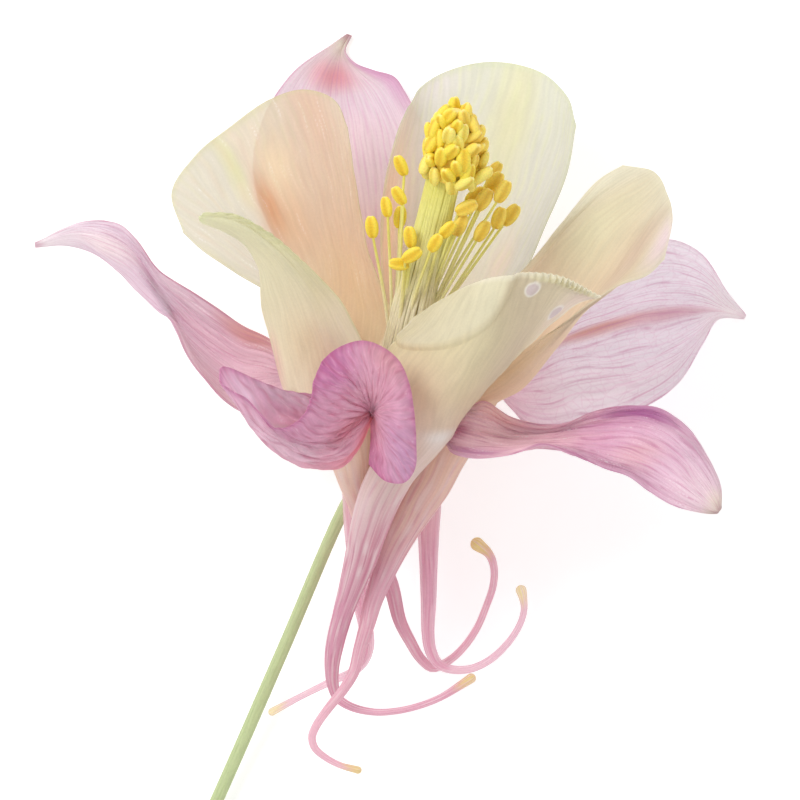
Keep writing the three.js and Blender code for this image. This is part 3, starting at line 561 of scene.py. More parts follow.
def wire_spot(tree, given):
    squares = []
    for place, centre, size in (("Across", "AtAcross", "Width"), ("Along", "AtAlong", "Length")):
        off = calc(tree, "DIVIDE", calc(tree, "SUBTRACT", given[place], given[centre]), given[size])
        squares.append(times(tree, off, off))
    off = calc(tree, "SQRT", calc(tree, "ADD", *squares))
    return {"Mask": soft_step(tree, off, given["Full"], 1.0, 1.0, 0.0)}


def wire_margin(tree, given):
    """The thin line along the free edge, where cells are packed closer."""
    side = close_to(tree, calc(tree, "PINGPONG", given["Across"], 0.5), given["Width"])
    side = times(tree, side, soft_step(tree, given["Along"], 0.05, 0.2))
    far = close_to(tree, calc(tree, "SUBTRACT", 1.0, given["Along"]), given["Width"])
    return {"Mask": calc(tree, "MAXIMUM", side, far)}


def wire_files(tree, given):
    """Long soft streaks of light and shade: cells that lie in files."""
    return {"Shade": noise(tree, stretched(tree, given), 1.0)}


def wire_grain(tree, given):
    """Single cells, each a little lighter or darker."""
    here = tree.nodes.new("ShaderNodeTexCoord").outputs["Object"]
    return {"Cells": noise(tree, here, calc(tree, "DIVIDE", 1 / MM, given["Cell"]))}


VEIN_INPUTS = {"Count": 12, "Width": 0.15, "Waver": 0.6, "Start": 0.0, "Finish": 0.2}
NET_INPUTS = {"Count": 20, "Length": 20, "Width": 0.12}
SPOT_INPUTS = {"AtAcross": 0.5, "AtAlong": 0.5, "Width": 0.2, "Length": 0.2, "Full": 0.0}
VEINS = make_group("veins", {**HERE, **VEIN_INPUTS}, wire_veins)
NET = make_group("vein_net", {**HERE, **NET_INPUTS}, wire_net)
SPOT = make_group("soft_spot", {**HERE, **SPOT_INPUTS}, wire_spot)
MARGIN = make_group("margin_line", {**HERE, "Width": 0.03}, wire_margin)
FILES = make_group("cell_files", {**HERE, "Count": 60, "Length": 5}, wire_files)
GRAIN = make_group("cell_grain", {"Cell": 0.25}, wire_grain)

# %% [markdown]
# One recipe serves all the sheets. Along the organ the colour follows a ramp, from the knob of the spur at -1
# by the throat at 0 to the rim at 1. Soft spots lay blushes and pale patches over it, and some of them are
# painted light and shade. Veins darken it, the cells break it up, and white specks may be painted in as
# glints. Then comes what makes it a petal and not painted tin: part of the light is scattered through the
# sheet, and a small part passes straight through, so that what lies behind shows. Light that crosses a sheet
# meets two faces, so a gamma of less than 1 lets each face tint it only in part.
#
# A sheet's colours are lists. Stops are (place, colour), spots (across, along, width, length, colour,
# strength), veins (count, width, waver, start, finish, colour, strength), nets (count, length, width, colour,
# strength) and margins (colour, strength). A spot may give its full share before the colour, which makes its
# edge crisp.

# %% The recipe for a petal or sepal
THROUGH = 0.50  # share of the light that is scattered through a face of the sheet
FACE_TINT = 0.6  # the gamma of one face's tint
CELL = 0.22  # mm, one cell of the finish
CELL_DEPTH = 0.025  # how much lighter or darker a cell is
CELL_FILES = (60, 5, 0.04)  # count across, count along, strength
SHEEN = 0.35  # how strongly the surface mirrors


def colour_ramp(tree, value, stops):
    node = tree.nodes.new("ShaderNodeValToRGB")
    feed(tree, node, {"Fac": value})
    elements = node.color_ramp.elements
    while len(elements) < len(stops):
        elements.new(0.5)
    for element, (place, _) in zip(elements, stops):
        element.position = place
    for element, (_, colour) in zip(elements, stops):
        element.color = ink(*colour)
    return node.outputs["Color"]


def mix_shaders(tree, share, first, second):
    node = tree.nodes.new("ShaderNodeMixShader")
    feed(tree, node, {"Fac": share, 1: first, 2: second})
    return node.outputs["Shader"]


def sheet_material(
    name, stops, spots=(), veins=(), net=(), margin=(), files=CELL_FILES, glint=0, through=THROUGH, clear=0
):
    """Clear is the share of the light that passes straight through."""
    material, tree, shader = new_material(name)
    place = use_group(tree, PLACE, Wander=0.05)
    here = {way: place[way] for way in HERE}
    along = calc(tree, "MULTIPLY_ADD", place["Along"], 0.5, 0.5)
    colour = colour_ramp(tree, along, [((at + 1) / 2, seen) for at, seen in stops])
    layers = [(spots, SPOT, SPOT_INPUTS), (veins, VEINS, VEIN_INPUTS), (net, NET, NET_INPUTS)]
    layers.append((margin, MARGIN, {}))
    for marks, group, inputs in layers:
        for *values, seen, strength in marks:
            mask = use_group(tree, group, **here, **dict(zip(inputs, values)))["Mask"]
            colour = blend(tree, times(tree, mask, strength), colour, ink(*seen))
    count, length, strength = files
    shade = use_group(tree, FILES, **here, Count=count, Length=length)["Shade"]
    cells = use_group(tree, GRAIN, Cell=CELL)["Cells"]
    streaks = soft_step(tree, shade, 0.3, 0.7, 1 - strength, 1 + strength)
    grain = soft_step(tree, cells, 0.25, 0.75, 1 - CELL_DEPTH, 1 + CELL_DEPTH)
    colour = shaded(tree, colour, times(tree, streaks, grain))
    # painted glints: white specks mixed into the colour where the cells sparkle
    if glint:
        shine = times(tree, soft_step(tree, shade, 0.62, 0.74), soft_step(tree, cells, 0.45, 0.6))
        colour = blend(tree, times(tree, shine, glint), colour, WHITE)

    rough = soft_step(tree, cells, 0.3, 0.7, 0.48, 0.64)
    feed(tree, shader, {"Base Color": colour, "Roughness": rough, "Specular IOR Level": SHEEN})
    face = tree.nodes.new("ShaderNodeGamma")
    feed(tree, face, {"Color": colour, "Gamma": FACE_TINT})
    glow = tree.nodes.new("ShaderNodeBsdfTranslucent")
    feed(tree, glow, {"Color": face.outputs["Color"]})
    surface = mix_shaders(tree, through, shader.outputs["BSDF"], glow.outputs["BSDF"])
    if clear:
        window = tree.nodes.new("ShaderNodeBsdfTransparent")
        surface = mix_shaders(tree, clear, surface, window.outputs["BSDF"])
    feed(tree, tree.nodes["Material Output"], {"Surface": surface})
    return material


print("a sheet is", SHEET, "mm thick in its middle and", RIM, "mm at its margin")

# %% [markdown]
# ## Where the organs stand
#
# All organs stand round one axis, which leans up from the table. A place in the flower is given by its height
# along the axis, its distance from it, and its angle round it, where 0 faces up and 90 faces right.

# %% The flower's own axes
LEAN = math.radians(30)
TURN = math.radians(13.6)
CENTRE = np.array([-0.3, 2.8, 0.0])
AXIS = np.array([math.sin(TURN) * math.cos(LEAN), math.cos(TURN) * math.cos(LEAN), math.sin(LEAN)])
RIGHT = np.array([math.cos(TURN), -math.sin(TURN), 0.0])
FRONT = np.cross(RIGHT, AXIS)


def outward(angle):
    return RIGHT * math.sin(math.radians(angle)) + FRONT * math.cos(math.radians(angle))


def sideways(angle):
    return RIGHT * math.cos(math.radians(angle)) - FRONT * math.sin(math.radians(angle))


def in_flower(height, distance, angle):
    return CENTRE + AXIS * height + outward(angle) * distance


print("the flower looks along", AXIS.round(2))

# %% [markdown]
# ## Petals
#
# Each petal is a horn: a broad blade, a throat, and a thin spur that curls to a nectar knob. It could be one
# sculpted mesh, but two families of lines say it more plainly. Rings go down the spur, egg-shaped at the
# throat and round below it. Lines go up the blade, from one margin round the back to the other. Both use the
# same columns, so they make a single grid from the knob to the rim. A spur's points are (x, y, z, radius).

# %% A petal from rings and lines
PETAL_COLUMNS = 112
BLADE_ROWS = 96
SPUR_ROWS = 120
THROAT_HEIGHT = -1.5
THROAT_DISTANCE = 6.7
THROAT_DEPTH = 4.1
THROAT_TAPER = 0.35  # how much narrower the throat is towards the middle of the flower
LEAD_RING = 4  # the blade's lines leave the throat in line with this ring below it
THROAT_BLEND = 0.35  # share of the blade in which its throat is eased to the first ring
HOLLOW_RADIUS = 0.30  # mm, where the hollow in the spur ends
HOLLOW_END = 0.1  # mm, how far its round end reaches


def horn_rings(angle, half_width, spur):
    """Rings from the throat down to the knob, the size of each, and the way that the knob points."""
    line = [in_flower(THROAT_HEIGHT, THROAT_DISTANCE, angle), *[place[:3] for place in spur]]
    sizes = [[THROAT_DEPTH, half_width, THROAT_TAPER], *[[place[3], place[3], 0] for place in spur]]
    shares = even_shares(line, SPUR_ROWS)
    centres, sizes = on_line(line, shares), on_line(sizes, shares)
    sizes[:, :2] -= SHEET / 2  # the rings run in the middle of the sheet
    turn = np.pi + 2 * np.pi * np.linspace(0, 1, PETAL_COLUMNS + 1)
    first_out = out = outward(angle)
    turned = 0.5 / len(spur)  # share of the line in which the rings turn to face along it
    rings = []
    for k, (centre, (depth, width, taper)) in enumerate(zip(centres, sizes)):
        tangent = unit(centres[min(k + 1, SPUR_ROWS)] - centres[max(k - 1, 0)])
        out = unit(out - (out @ tangent) * tangent)
        ease = smooth(shares[k] / turned)
        ring_out = unit(first_out * (1 - ease) + out * ease)
        across = unit(sideways(angle) * (1 - ease) + np.cross(out, tangent) * ease)
        swell = 1 + taper * np.cos(turn)
        ring = np.outer(depth * np.cos(turn), ring_out) + np.outer(width * np.sin(turn) * swell, across)
        rings.append(centre + ring)
    return np.array(rings), sizes[:, 0], tangent


def blade_grid(blade, rings):
    """The blade's places. Its first row is the throat, and its lines leave in the horn's direction."""
    spots = np.linspace(0, PETAL_COLUMNS, len(blade)).round().astype(int)
    lines = [[rings[0, spot], *line] for spot, line in zip(spots, blade)]
    grid = lattice(lines, BLADE_ROWS, PETAL_COLUMNS, leads=rings[LEAD_RING, spots])
    fade = np.clip(1 - np.linspace(0, 1, BLADE_ROWS + 1) / THROAT_BLEND, 0, 1)[:, None, None] ** 2
    return grid + (rings[0] - grid[0]) * fade


def make_petal(name, node, material, angle, half_width, blade, spur, seed, reliefs=()):
    rings, sizes, knob_way = horn_rings(angle, half_width, spur)
    places = blade_grid(blade, rings)
    maps = grid_map(BLADE_ROWS, PETAL_COLUMNS)
    places = places + face_normals(places, 1) * heights(maps, seed, reliefs)[..., None]
    grid = np.concatenate([rings[:0:-1], places])
    maps = np.concatenate([grid_map(SPUR_ROWS, PETAL_COLUMNS, -1, 0)[:-1], maps])
    horn_thickness = np.full((SPUR_ROWS, PETAL_COLUMNS + 1), SHEET)
    thickness = np.concatenate([horn_thickness, thickness_of(BLADE_ROWS, PETAL_COLUMNS)])
    half = face_normals(grid, SPUR_ROWS + 1) * thickness[..., None] / 2
    outer, inner = grid + half, grid - half
    deepest = SPUR_ROWS - int(np.argmax(sizes < HOLLOW_RADIUS))
    knob = round_end(outer[0], knob_way * (sizes[-1] + SHEET / 2))
    floor = round_end(inner[deepest], knob_way * HOLLOW_END)
    skin = Skin()
    skin.add(np.concatenate([knob, outer]), np.concatenate([np.repeat(maps[:1], len(knob), axis=0), maps]))
    inner_maps = np.concatenate([np.repeat(maps[deepest : deepest + 1], len(floor), axis=0), maps[deepest:]])
    skin.add(np.concatenate([floor, inner[deepest:]]), inner_maps, inside=True)
    add_rim(skin, outer, inner, maps, SPUR_ROWS)
    skin.piece(name, [material], node, "petal")


print("a petal's grid:", SPUR_ROWS + BLADE_ROWS, "rows of", PETAL_COLUMNS)

# %% [markdown]
# The front petal stands nearest to us. It is cream-green and curls away to the right, with a lifted lobe on
# its left and two small blisters. Its spur is the thickest, and its horn is pale where it leaves the flower
# and pink further down. All spurs have colours of their own, so we name them first.

# %% The front petal
SPUR_PINK = (232, 176, 198)
SPUR_BEIGE = (242, 212, 204)
KNOB_YELLOW = (240, 224, 140)
KNOB_BEIGE = (236, 212, 150)
SPUR_LIGHT = (252, 238, 238)
SPUR_DEEP = (204, 120, 154)


def spur_stops(throat, funnel=SPUR_BEIGE, pink=SPUR_PINK):
    """The ramp's colours from the knob to the throat."""
    knob = [(-1, KNOB_YELLOW), (-0.985, KNOB_BEIGE)]
    return [*knob, (-0.96, pink), (-0.45, pink), (-0.2, funnel), (-0.03, throat)]


def spur_veins(light=0.55, deep=0.5):
    """Light and deep streaks that run down a spur and end above its throat."""
    return [
        (9, 0.45, 1.6, 0.05, -0.25, SPUR_LIGHT, light), (15, 0.35, 1.2, 0, -0.3, SPUR_DEEP, deep),
        (40, 0.25, 2.5, 0.1, -0.15, SPUR_LIGHT, light * 0.6),
    ]


front_skin = sheet_material(
    "front_petal_skin",
    stops=[
        *spur_stops((238, 220, 208), (246, 228, 226)), (0.3, (236, 222, 196)), (0.65, (242, 236, 204)),
        (1, (244, 240, 212)),
    ],
    spots=[
        # painted shade: the darker beige patches at 0.6 and 0.74 across lie where the petal curls away and
        # shows its outer face
        (0.6, 0.9, 0.3, 0.6, (220, 208, 184), 0.9), (0.74, 0.6, 0.24, 0.7, (226, 214, 194), 1),
        (0.22, 1, 0.33, 0.44, 0.88, (238, 234, 210), 1), (0.95, 0.9, 0.2, 0.5, (238, 222, 216), 0.8),
        (0.8, 0.99, 0.24, 0.035, 0.6, (236, 230, 200), 1),
        (0.655, 0.93, 0.038, 0.044, 0.7, (252, 250, 246), 0.9),
        (0.655, 0.93, 0.028, 0.033, 0.7, (226, 214, 216), 1),
        (0.89, 0.82, 0.056, 0.057, 0.7, (252, 250, 246), 0.9),
        (0.89, 0.82, 0.044, 0.044, 0.7, (226, 214, 218), 1), (0.55, -0.3, 0.2, 0.2, (214, 124, 156), 0.7),
        (0.52, 0.03, 0.14, 0.09, (250, 248, 246), 0.9),
    ],
    veins=[*spur_veins(0.9, 0.6), (30, 0.3, 0.6, 0.4, 0.7, (206, 198, 172), 0.12)],
    margin=[((250, 246, 230), 0.7)],
)
make_petal(
    "front_petal", "petal_front", front_skin, angle=29, half_width=3,
    blade=[
        [[-0.7, 2.8, 3], [-1.1, 5, 5], [0.5, 6.7, 6.5], [2.5, 8.4, 8]],
        [[-1.3, 0.5, 7.4], [-0.2, 3.6, 9], [3, 7, 11], [5.5, 10.2, 12.5]],
        [[4.5, -1, 11], [6.5, 3, 14.5], [8.8, 7.5, 17.5], [10.5, 12.4, 19]],
        [[7.8, 0.3, 6.8], [10.6, 3.8, 11], [13.6, 8.2, 15], [16, 12.5, 17]],
        [[4, 0.3, 2.3], [8, 1.9, 4.9], [12.4, 5.2, 9], [15.8, 8.2, 12], [18.2, 9.8, 13.7], [20, 10.4, 14.4]],
    ],
    spur=[
        [-0.9, -7.4, 2.3, 2.25], [-2, -9.6, 1.2, 2.15], [-3.1, -12.8, -0.7, 1.9], [-4, -16.1, -3.2, 1.6],
        [-5, -19.1, -5.2, 1.2], [-5.8, -21.7, -6.8, 1], [-6.5, -24.4, -8.4, 0.92], [-6.8, -26.6, -9.6, 0.75],
        [-6.7, -28.5, -10.5, 0.6], [-6.2, -29.8, -11, 0.48], [-4.8, -30.7, -11, 0.42],
        [-2.5, -31.2, -10.6, 0.36], [-0.5, -31.1, -10.1, 0.34], [1.8, -30.6, -9.6, 0.33],
        [4.1, -29.7, -9.1, 0.34], [5.9, -28.6, -8.7, 0.42], [7.1, -27.8, -8.5, 0.5],
    ],
    seed=11,
    reliefs=[
        (ribs, 22, 0.02), (plateau, (0.22, 1), (0.33, 0.44), 0.5),
        (crease, (0.6, 0.3), (0.72, 0.95), 0.03, 0.12), (ridges, (34, 9), (0.8, 0.985), (0.2, 0.04), 0.28),
        (ridges, (0, 0), (0.8, 0.985), (0.2, 0.04), 0.6),
        (ridges, (0, 0), (0.655, 0.93), (0.025, 0.03), 0.3),
        (ridges, (0, 0), (0.89, 0.82), (0.035, 0.04), 0.3),
    ],
)

# %% [markdown]
# The right petal lies lower and reaches further out. A soft fold parts its halves, which carry painted
# light and shade: the upper half is a lit cream, the lower one a shaded, pearly, faintly pink beige. Pale
# patches are painted on its upper margin to lift the shade there, and its spur is painted lighter than the
# others, most of all on the side where the front spur's shadow falls.

# %% The right petal
right_skin = sheet_material(
    "right_petal_skin",
    stops=[
        # painted light: this spur's colours are lighter than the other spurs', against the front spur's
        # shadow on it
        *spur_stops((242, 216, 194), (248, 222, 206), (242, 198, 212)), (0.15, (242, 220, 194)),
        (0.4, (238, 218, 196)), (0.8, (228, 214, 190)), (1, (226, 220, 200)),
    ],
    spots=[
        # painted light and shade: the cream patch at 0.66 across is the lit half, the beige one at 0.36 the
        # shaded half
        (0.66, 0.72, 0.24, 0.4, (234, 228, 200), 1), (0.36, 0.8, 0.16, 0.3, (220, 200, 182), 0.8),
        # painted light: the pale patches at 0.95 and 0.92 across lift the shade on the upper margin
        (0.95, 0.45, 0.3, 0.3, (255, 250, 236), 0.9), (0.92, 0.8, 0.25, 0.4, (242, 240, 222), 0.9),
        # painted light: the pale patch at 0.17 across on the spur lifts the front spur's shadow
        (0.16, 0.97, 0.2, 0.15, (240, 222, 226), 0.9), (0.17, -0.3, 0.14, 0.16, (252, 232, 218), 0.9),
    ],
    veins=[*spur_veins(0.6, 0.4), (34, 0.3, 0.6, 0.1, 0.5, (220, 196, 164), 0.14)],
    margin=[((240, 236, 214), 0.4)],
)
make_petal(
    "right_petal", "petal_right", right_skin, angle=105, half_width=2.7,
    blade=[
        [[5.2, 1.5, 0.9], [10.7, 4, 3.9], [16, 7.5, 7.2], [21.5, 11.2, 9.2], [24.6, 12.4, 9.4],
         [26.3, 14, 8.8]],
        [[9.8, 0.5, 3], [14, 4.5, 6], [18, 8.5, 7.5], [23, 13, 8], [27.1, 18, 7.5]],
        [[12.4, 2.2, -0.6], [16, 6.5, 1.5], [20, 12, 3.5], [24, 17.5, 4.5], [26.5, 20.7, 4.5]],
        [[7.8, 5, -3.4], [11, 9.5, -2.2], [15.2, 15, -1.2], [20, 19.8, -0.4], [25.2, 22.8, 1]],
        [[4, 4.5, -2], [7.5, 8.2, -0.8], [12, 12.7, -0.4], [16.3, 17.9, -0.6], [19.7, 21.9, -0.6],
         [22.2, 23.4, -0.2]],
    ],
    spur=[
        [5.3, -3.2, -2.3, 2.55], [4, -6.1, -2.6, 2.3], [3, -8.3, -3.1, 2.15], [1.8, -10.3, -3.4, 1.95],
        [0.4, -12.7, -4, 1.7], [-0.9, -15.4, -4.75, 1.4], [-1.9, -17.9, -5.6, 1.12],
        [-2.7, -20.2, -6.4, 0.92], [-3.3, -22.5, -7, 0.78], [-4, -24.8, -7.6, 0.65], [-4.6, -27.1, -8, 0.58],
        [-5.7, -29, -8.3, 0.5], [-7, -30.6, -8.7, 0.46], [-8.4, -32.6, -9.3, 0.42], [-8.8, -33.8, -9.8, 0.4],
        [-8.5, -34.8, -10.1, 0.38], [-7.5, -35.7, -10.4, 0.34], [-6, -36.5, -10.6, 0.32],
        [-4.2, -37, -10.7, 0.38],
    ],
    seed=12,
    reliefs=[
        (ribs, 24, 0.02), (crease, (0.5, 0.45), (0.46, 1), 0.05, 0.35),
        (crease, (0.78, 0.45), (0.84, 1), 0.04, 0.15),
    ],
)

# %% [markdown]
# The right back petal is the upright, ivory one behind the stamens. Fine yellow-green lines run up it.

# %% The right back petal
back_right_skin = sheet_material(
    "back_right_petal_skin",
    stops=[
        *spur_stops((228, 214, 184)), (0.15, (226, 216, 188)), (0.4, (222, 216, 198)),
        (0.7, (216, 214, 200)), (1, (214, 214, 194)),
    ],
    spots=[
        (0.4, 0.85, 0.12, 0.6, (220, 216, 172), 1), (0.1, 0.62, 0.18, 0.5, (216, 214, 204), 0.8),
        # painted light: the peach patch at 0.94 across is the tint of light that comes through the pink back
        # sepal
        (0.22, 0.4, 0.1, 0.16, (236, 212, 192), 0.7), (0.94, 0.55, 0.22, 0.6, (250, 212, 178), 1),
        (0.72, 0.98, 0.16, 0.14, (232, 226, 224), 0.8),
    ],
    veins=[(24, 0.4, 1, 0.1, 0.5, (224, 226, 172), 0.4), *spur_veins()],
    margin=[((206, 212, 170), 0.5)], clear=0.36,
)
make_petal(
    "back_right_petal", "petal_back_right", back_right_skin, angle=172, half_width=2.7,
    blade=[
        [[4, 5, -3], [8, 8, -2.8], [12, 12, -2.5], [14.6, 17.8, -2.6], [16.9, 23.2, -3.6], [17.6, 27.4, -5]],
        [[5.6, 6, -5.2], [9.4, 11, -5.2], [13, 17.5, -5.6], [15.8, 24.5, -6.4], [16.7, 30.3, -8.2]],
        [[5.8, 8, -6.5], [8.6, 15, -7], [11.8, 23, -7.8], [14.2, 32.7, -10]],
        [[3.6, 10, -9], [5.4, 17.5, -9.2], [7.4, 25.5, -9.6], [9.4, 33.8, -11]],
        [[1.6, 10.5, -8.8], [2.8, 17.5, -8.8], [4.2, 25, -9.2], [5, 33, -10.8]],
        [[-0.4, 9, -6], [-0.1, 15.5, -6.2], [0.6, 23, -7.2], [2, 31.2, -9.2]],
        [[-0.8, 6.6, -3.8], [-1.6, 10.6, -4.6], [-1.9, 15.5, -4.9], [-1.7, 20.5, -5], [-0.3, 26.5, -6.2],
         [0.8, 29.2, -7.4]],
    ],
    spur=[
        [1.5, 0.5, -7.9, 2.3], [2.5, -4.5, -8.6, 1.7], [2.9, -10, -9, 1.25], [2.85, -13.3, -9.2, 1.08],
        [2.85, -16.8, -9.4, 0.9], [2.85, -20.2, -9.7, 0.78], [2.8, -23.2, -10, 0.65],
        [3.05, -25, -10.2, 0.6], [3.75, -26.3, -10.4, 0.52], [5, -26.9, -10.4, 0.44],
        [6.9, -26.9, -10.3, 0.4], [8.8, -26.1, -10.1, 0.38], [10.6, -24.5, -9.8, 0.35],
        [11.9, -22.6, -9.6, 0.33], [12.4, -21, -9.4, 0.33], [12.3, -19.8, -9.3, 0.42],
        [12.1, -19, -9.2, 0.55],
    ],
    seed=13,
    reliefs=[
        (ribs, 24, 0.025), (crease, (0.2, 0.3), (0.49, 1), 0.03, 0.22),
        (crease, (0.1, 0.35), (0.3, 0.95), 0.04, -0.14),
    ],
)

# %% [markdown]
# The left back petal is the widest. Its outer flap is a thin whitish green. Its middle glitters with golden
# cells, painted as a paler golden patch with white glints. A deep fold near the base is painted orange, as
# shade in its hollow warmed by light that comes through the pink sepal behind, and the peach patch beside
# it is that light too.

# %% The left back petal
back_left_skin = sheet_material(
    "back_left_petal_skin",
    stops=[
        *spur_stops((232, 212, 178)), (0.15, (240, 226, 190)), (0.4, (236, 214, 184)),
        (0.7, (234, 214, 186)), (1, (234, 220, 196)),
    ],
    spots=[
        (0.5, 1, 0.14, 0.3, (226, 216, 190), 0.8), (0.95, 0.85, 0.36, 0.8, 0.8, (224, 218, 198), 1),
        # painted highlight: the paler golden patch at 0.49 across is where the cells glitter
        (0.32, 0.25, 0.3, 0.3, (242, 222, 182), 0.7), (0.49, 0.72, 0.1, 0.24, (248, 228, 188), 0.9),
        # painted light and shade: the peach patch at 0.52 across is light through the pink sepal behind, and
        # the orange one at 0.575 is shade in the fold's hollow, warmed by that light
        (0.52, 0.5, 0.12, 0.24, (238, 202, 158), 0.8), (0.575, 0.62, 0.08, 0.22, (228, 166, 108), 1),
        (0.64, 0.88, 0.04, 0.28, (222, 222, 160), 0.9), (0.28, 0.92, 0.16, 0.3, (232, 196, 164), 0.7),
    ],
    veins=[
        (30, 0.35, 1, 0.4, 0.8, (228, 224, 176), 0.25), (17, 0.3, 0.6, 0, 0.3, (236, 200, 166), 0.2),
        *spur_veins(0.7, 0.3),
    ],
    margin=[((214, 212, 160), 0.5)], glint=0.4, clear=0.36,
)
make_petal(
    "back_left_petal", "petal_back_left", back_left_skin, angle=242, half_width=2.7,
    blade=[
        [[-0.8, 7.5, -3.1], [-1.7, 10.9, -4], [-3, 14.6, -4.7], [-4.2, 20, -5.4], [-5.2, 27.2, -5.5]],
        [[-2.9, 8.5, -5], [-3.9, 14.5, -5.6], [-5, 21.5, -6], [-6.6, 30, -5.8]],
        [[-4.6, 10.5, -6.4], [-6, 17, -6.2], [-7.4, 23.5, -5.8], [-9.5, 31, -5.2]],
        [[-7.2, 11.2, -6], [-8.6, 17.5, -5.2], [-10.4, 24, -4.2], [-13, 30, -3.2]],
        [[-9.2, 10.6, -3.6], [-11.4, 16, -2.2], [-14, 21.8, -0.8], [-16.8, 27.3, 0.4]],
        [[-8.8, 8.6, 0.2], [-12.6, 13.2, 2.2], [-16.8, 18.2, 4], [-20.4, 24.3, 5]],
        [[-7.4, 6.8, 0.6], [-11.4, 11, 3.1], [-16, 15.4, 5.3], [-20, 18.8, 6.5], [-22.7, 20.6, 7.2]],
        [[-5.5, 5, 1.2], [-10, 8.8, 4], [-15, 11.9, 6.5], [-19.6, 14.9, 8], [-21.5, 16.6, 8.3]],
    ],
    spur=[
        [-5.2, 0, -4.5, 2.1], [-4.6, -5, -5.8, 1.65], [-4.4, -9, -7, 1.4], [-4.4, -12.7, -8.2, 1.2],
        [-4.2, -16, -9.3, 1.05], [-3.9, -20, -10.5, 0.85], [-3.4, -22.8, -11.3, 0.72],
        [-3.2, -24.6, -11.8, 0.62], [-3.7, -26.2, -12.2, 0.53], [-4.9, -27.3, -12.6, 0.45],
        [-6.3, -27.9, -12.9, 0.4], [-8.2, -28.8, -13.1, 0.34], [-10, -29.7, -13.2, 0.32],
        [-11.7, -30.6, -13.1, 0.36], [-12.8, -31.2, -13, 0.4],
    ],
    seed=14,
    reliefs=[
        (ribs, 26, 0.03), (crease, (0.64, 0.4), (0.615, 1), 0.03, -0.55),
        (crease, (0.5, 0.35), (0.54, 1), 0.06, 0.3), (crease, (0.2, 0.2), (0.3, 1), 0.06, -0.2),
    ],
)

# %% [markdown]
# The left petal stands up beside the front one. It is a smooth yellow-green, and its margin rolls outward.

# %% The left petal
left_skin = sheet_material(
    "left_petal_skin",
    stops=[
        *spur_stops((246, 226, 206), (248, 226, 210), (236, 184, 202)), (0.15, (246, 234, 212)),
        (0.35, (242, 232, 208)), (0.6, (236, 230, 204)), (1, (234, 232, 202)),
    ],
    spots=[
        (0.95, 0.85, 0.14, 0.35, (234, 232, 192), 0.9), (0.32, 0.28, 0.1, 0.2, (240, 200, 196), 0.7),
        (0.62, 0.3, 0.3, 0.2, (238, 222, 190), 0.5), (0.92, 0.28, 0.3, 0.26, (255, 250, 238), 0.9),
    ],
    veins=[(22, 0.3, 0.6, 0.3, 0.7, (222, 218, 176), 0.15), *spur_veins(0.7, 0.3)],
    margin=[((226, 230, 188), 0.5)],
)
make_petal(
    "left_petal", "petal_left", left_skin, angle=-50, half_width=2.7,
    blade=[
        [[-5.5, 3.2, 1], [-9, 5, 2.5], [-12, 7.2, 4.5], [-13.4, 10.2, 6.5], [-13.8, 13, 8.5],
         [-15, 15.3, 11], [-17.6, 17.1, 14.4]],
        [[-10.4, 0.2, 3.6], [-12.5, 5, 6.3], [-13.6, 9.2, 9], [-14, 13.2, 11.8], [-16.2, 16.2, 14.5],
         [-19.6, 17.8, 16.6]],
        [[-9.5, 0.9, 7.4], [-10.6, 6, 10.5], [-11.8, 10.5, 13.5], [-13.8, 14.4, 16], [-17, 17, 17.2],
         [-20, 18, 17.7]],
        [[-6.2, 2.2, 7.8], [-7, 5.5, 11.5], [-9, 10, 14.5], [-12, 14.2, 17.3], [-16, 17.3, 18.6],
         [-19.9, 18.2, 18.8]],
        [[-2.9, 3.6, 3.4], [-4, 6.2, 7.4], [-6, 10, 11.6], [-9.7, 13.8, 15.3], [-13.3, 16.8, 17.6],
         [-16.4, 18.4, 18.8], [-19.5, 18.5, 19.4]],
    ],
    spur=[
        [-5.2, -3.8, 0.7, 2.55], [-4.6, -7.4, -1.8, 1.8], [-3.9, -10, -3.8, 1.45], [-3.2, -12.7, -5.6, 1.25],
        [-2.1, -16, -7.5, 0.98], [-0.9, -18.6, -8.8, 0.8], [0, -22.1, -10.3, 0.66], [1, -24.1, -11.3, 0.58],
        [2.1, -25.9, -12.4, 0.5], [3.3, -26.8, -13, 0.45], [5, -26, -13.2, 0.4], [6.4, -24.7, -13, 0.38],
        [7.7, -22.8, -12.5, 0.37], [8.6, -20.7, -11.8, 0.36], [9.3, -18.6, -11.2, 0.37],
        [9.4, -16.8, -10.6, 0.38], [8.9, -15.4, -10.2, 0.45], [7.7, -14.4, -10, 0.7],
    ],
    seed=15,
    reliefs=[
        (ribs, 20, 0.02), (ridges, (7, 26), (0.96, 0.82), (0.11, 0.16), 0.13),
        (crease, (0.86, 0.55), (0.84, 1), 0.04, -0.28),
    ],
)

# %% [markdown]
# ## Sepals
#
# Five pink sepals stand between the petals. Each starts as a narrow claw at the receptacle, slips out between
# two horns and widens into a blade with a pointed tip. The same two families of lines would be too many here:
# lines along the sepal are enough, and the claw's part of them is worked out from its angle. The claw's
# points are (height, distance, angle, half width), and the tip has a left and a right end.

# %% A sepal from lines
NARROW_SHEET = 0.3  # where a row is narrow, the sheet is no thicker than this share of its width


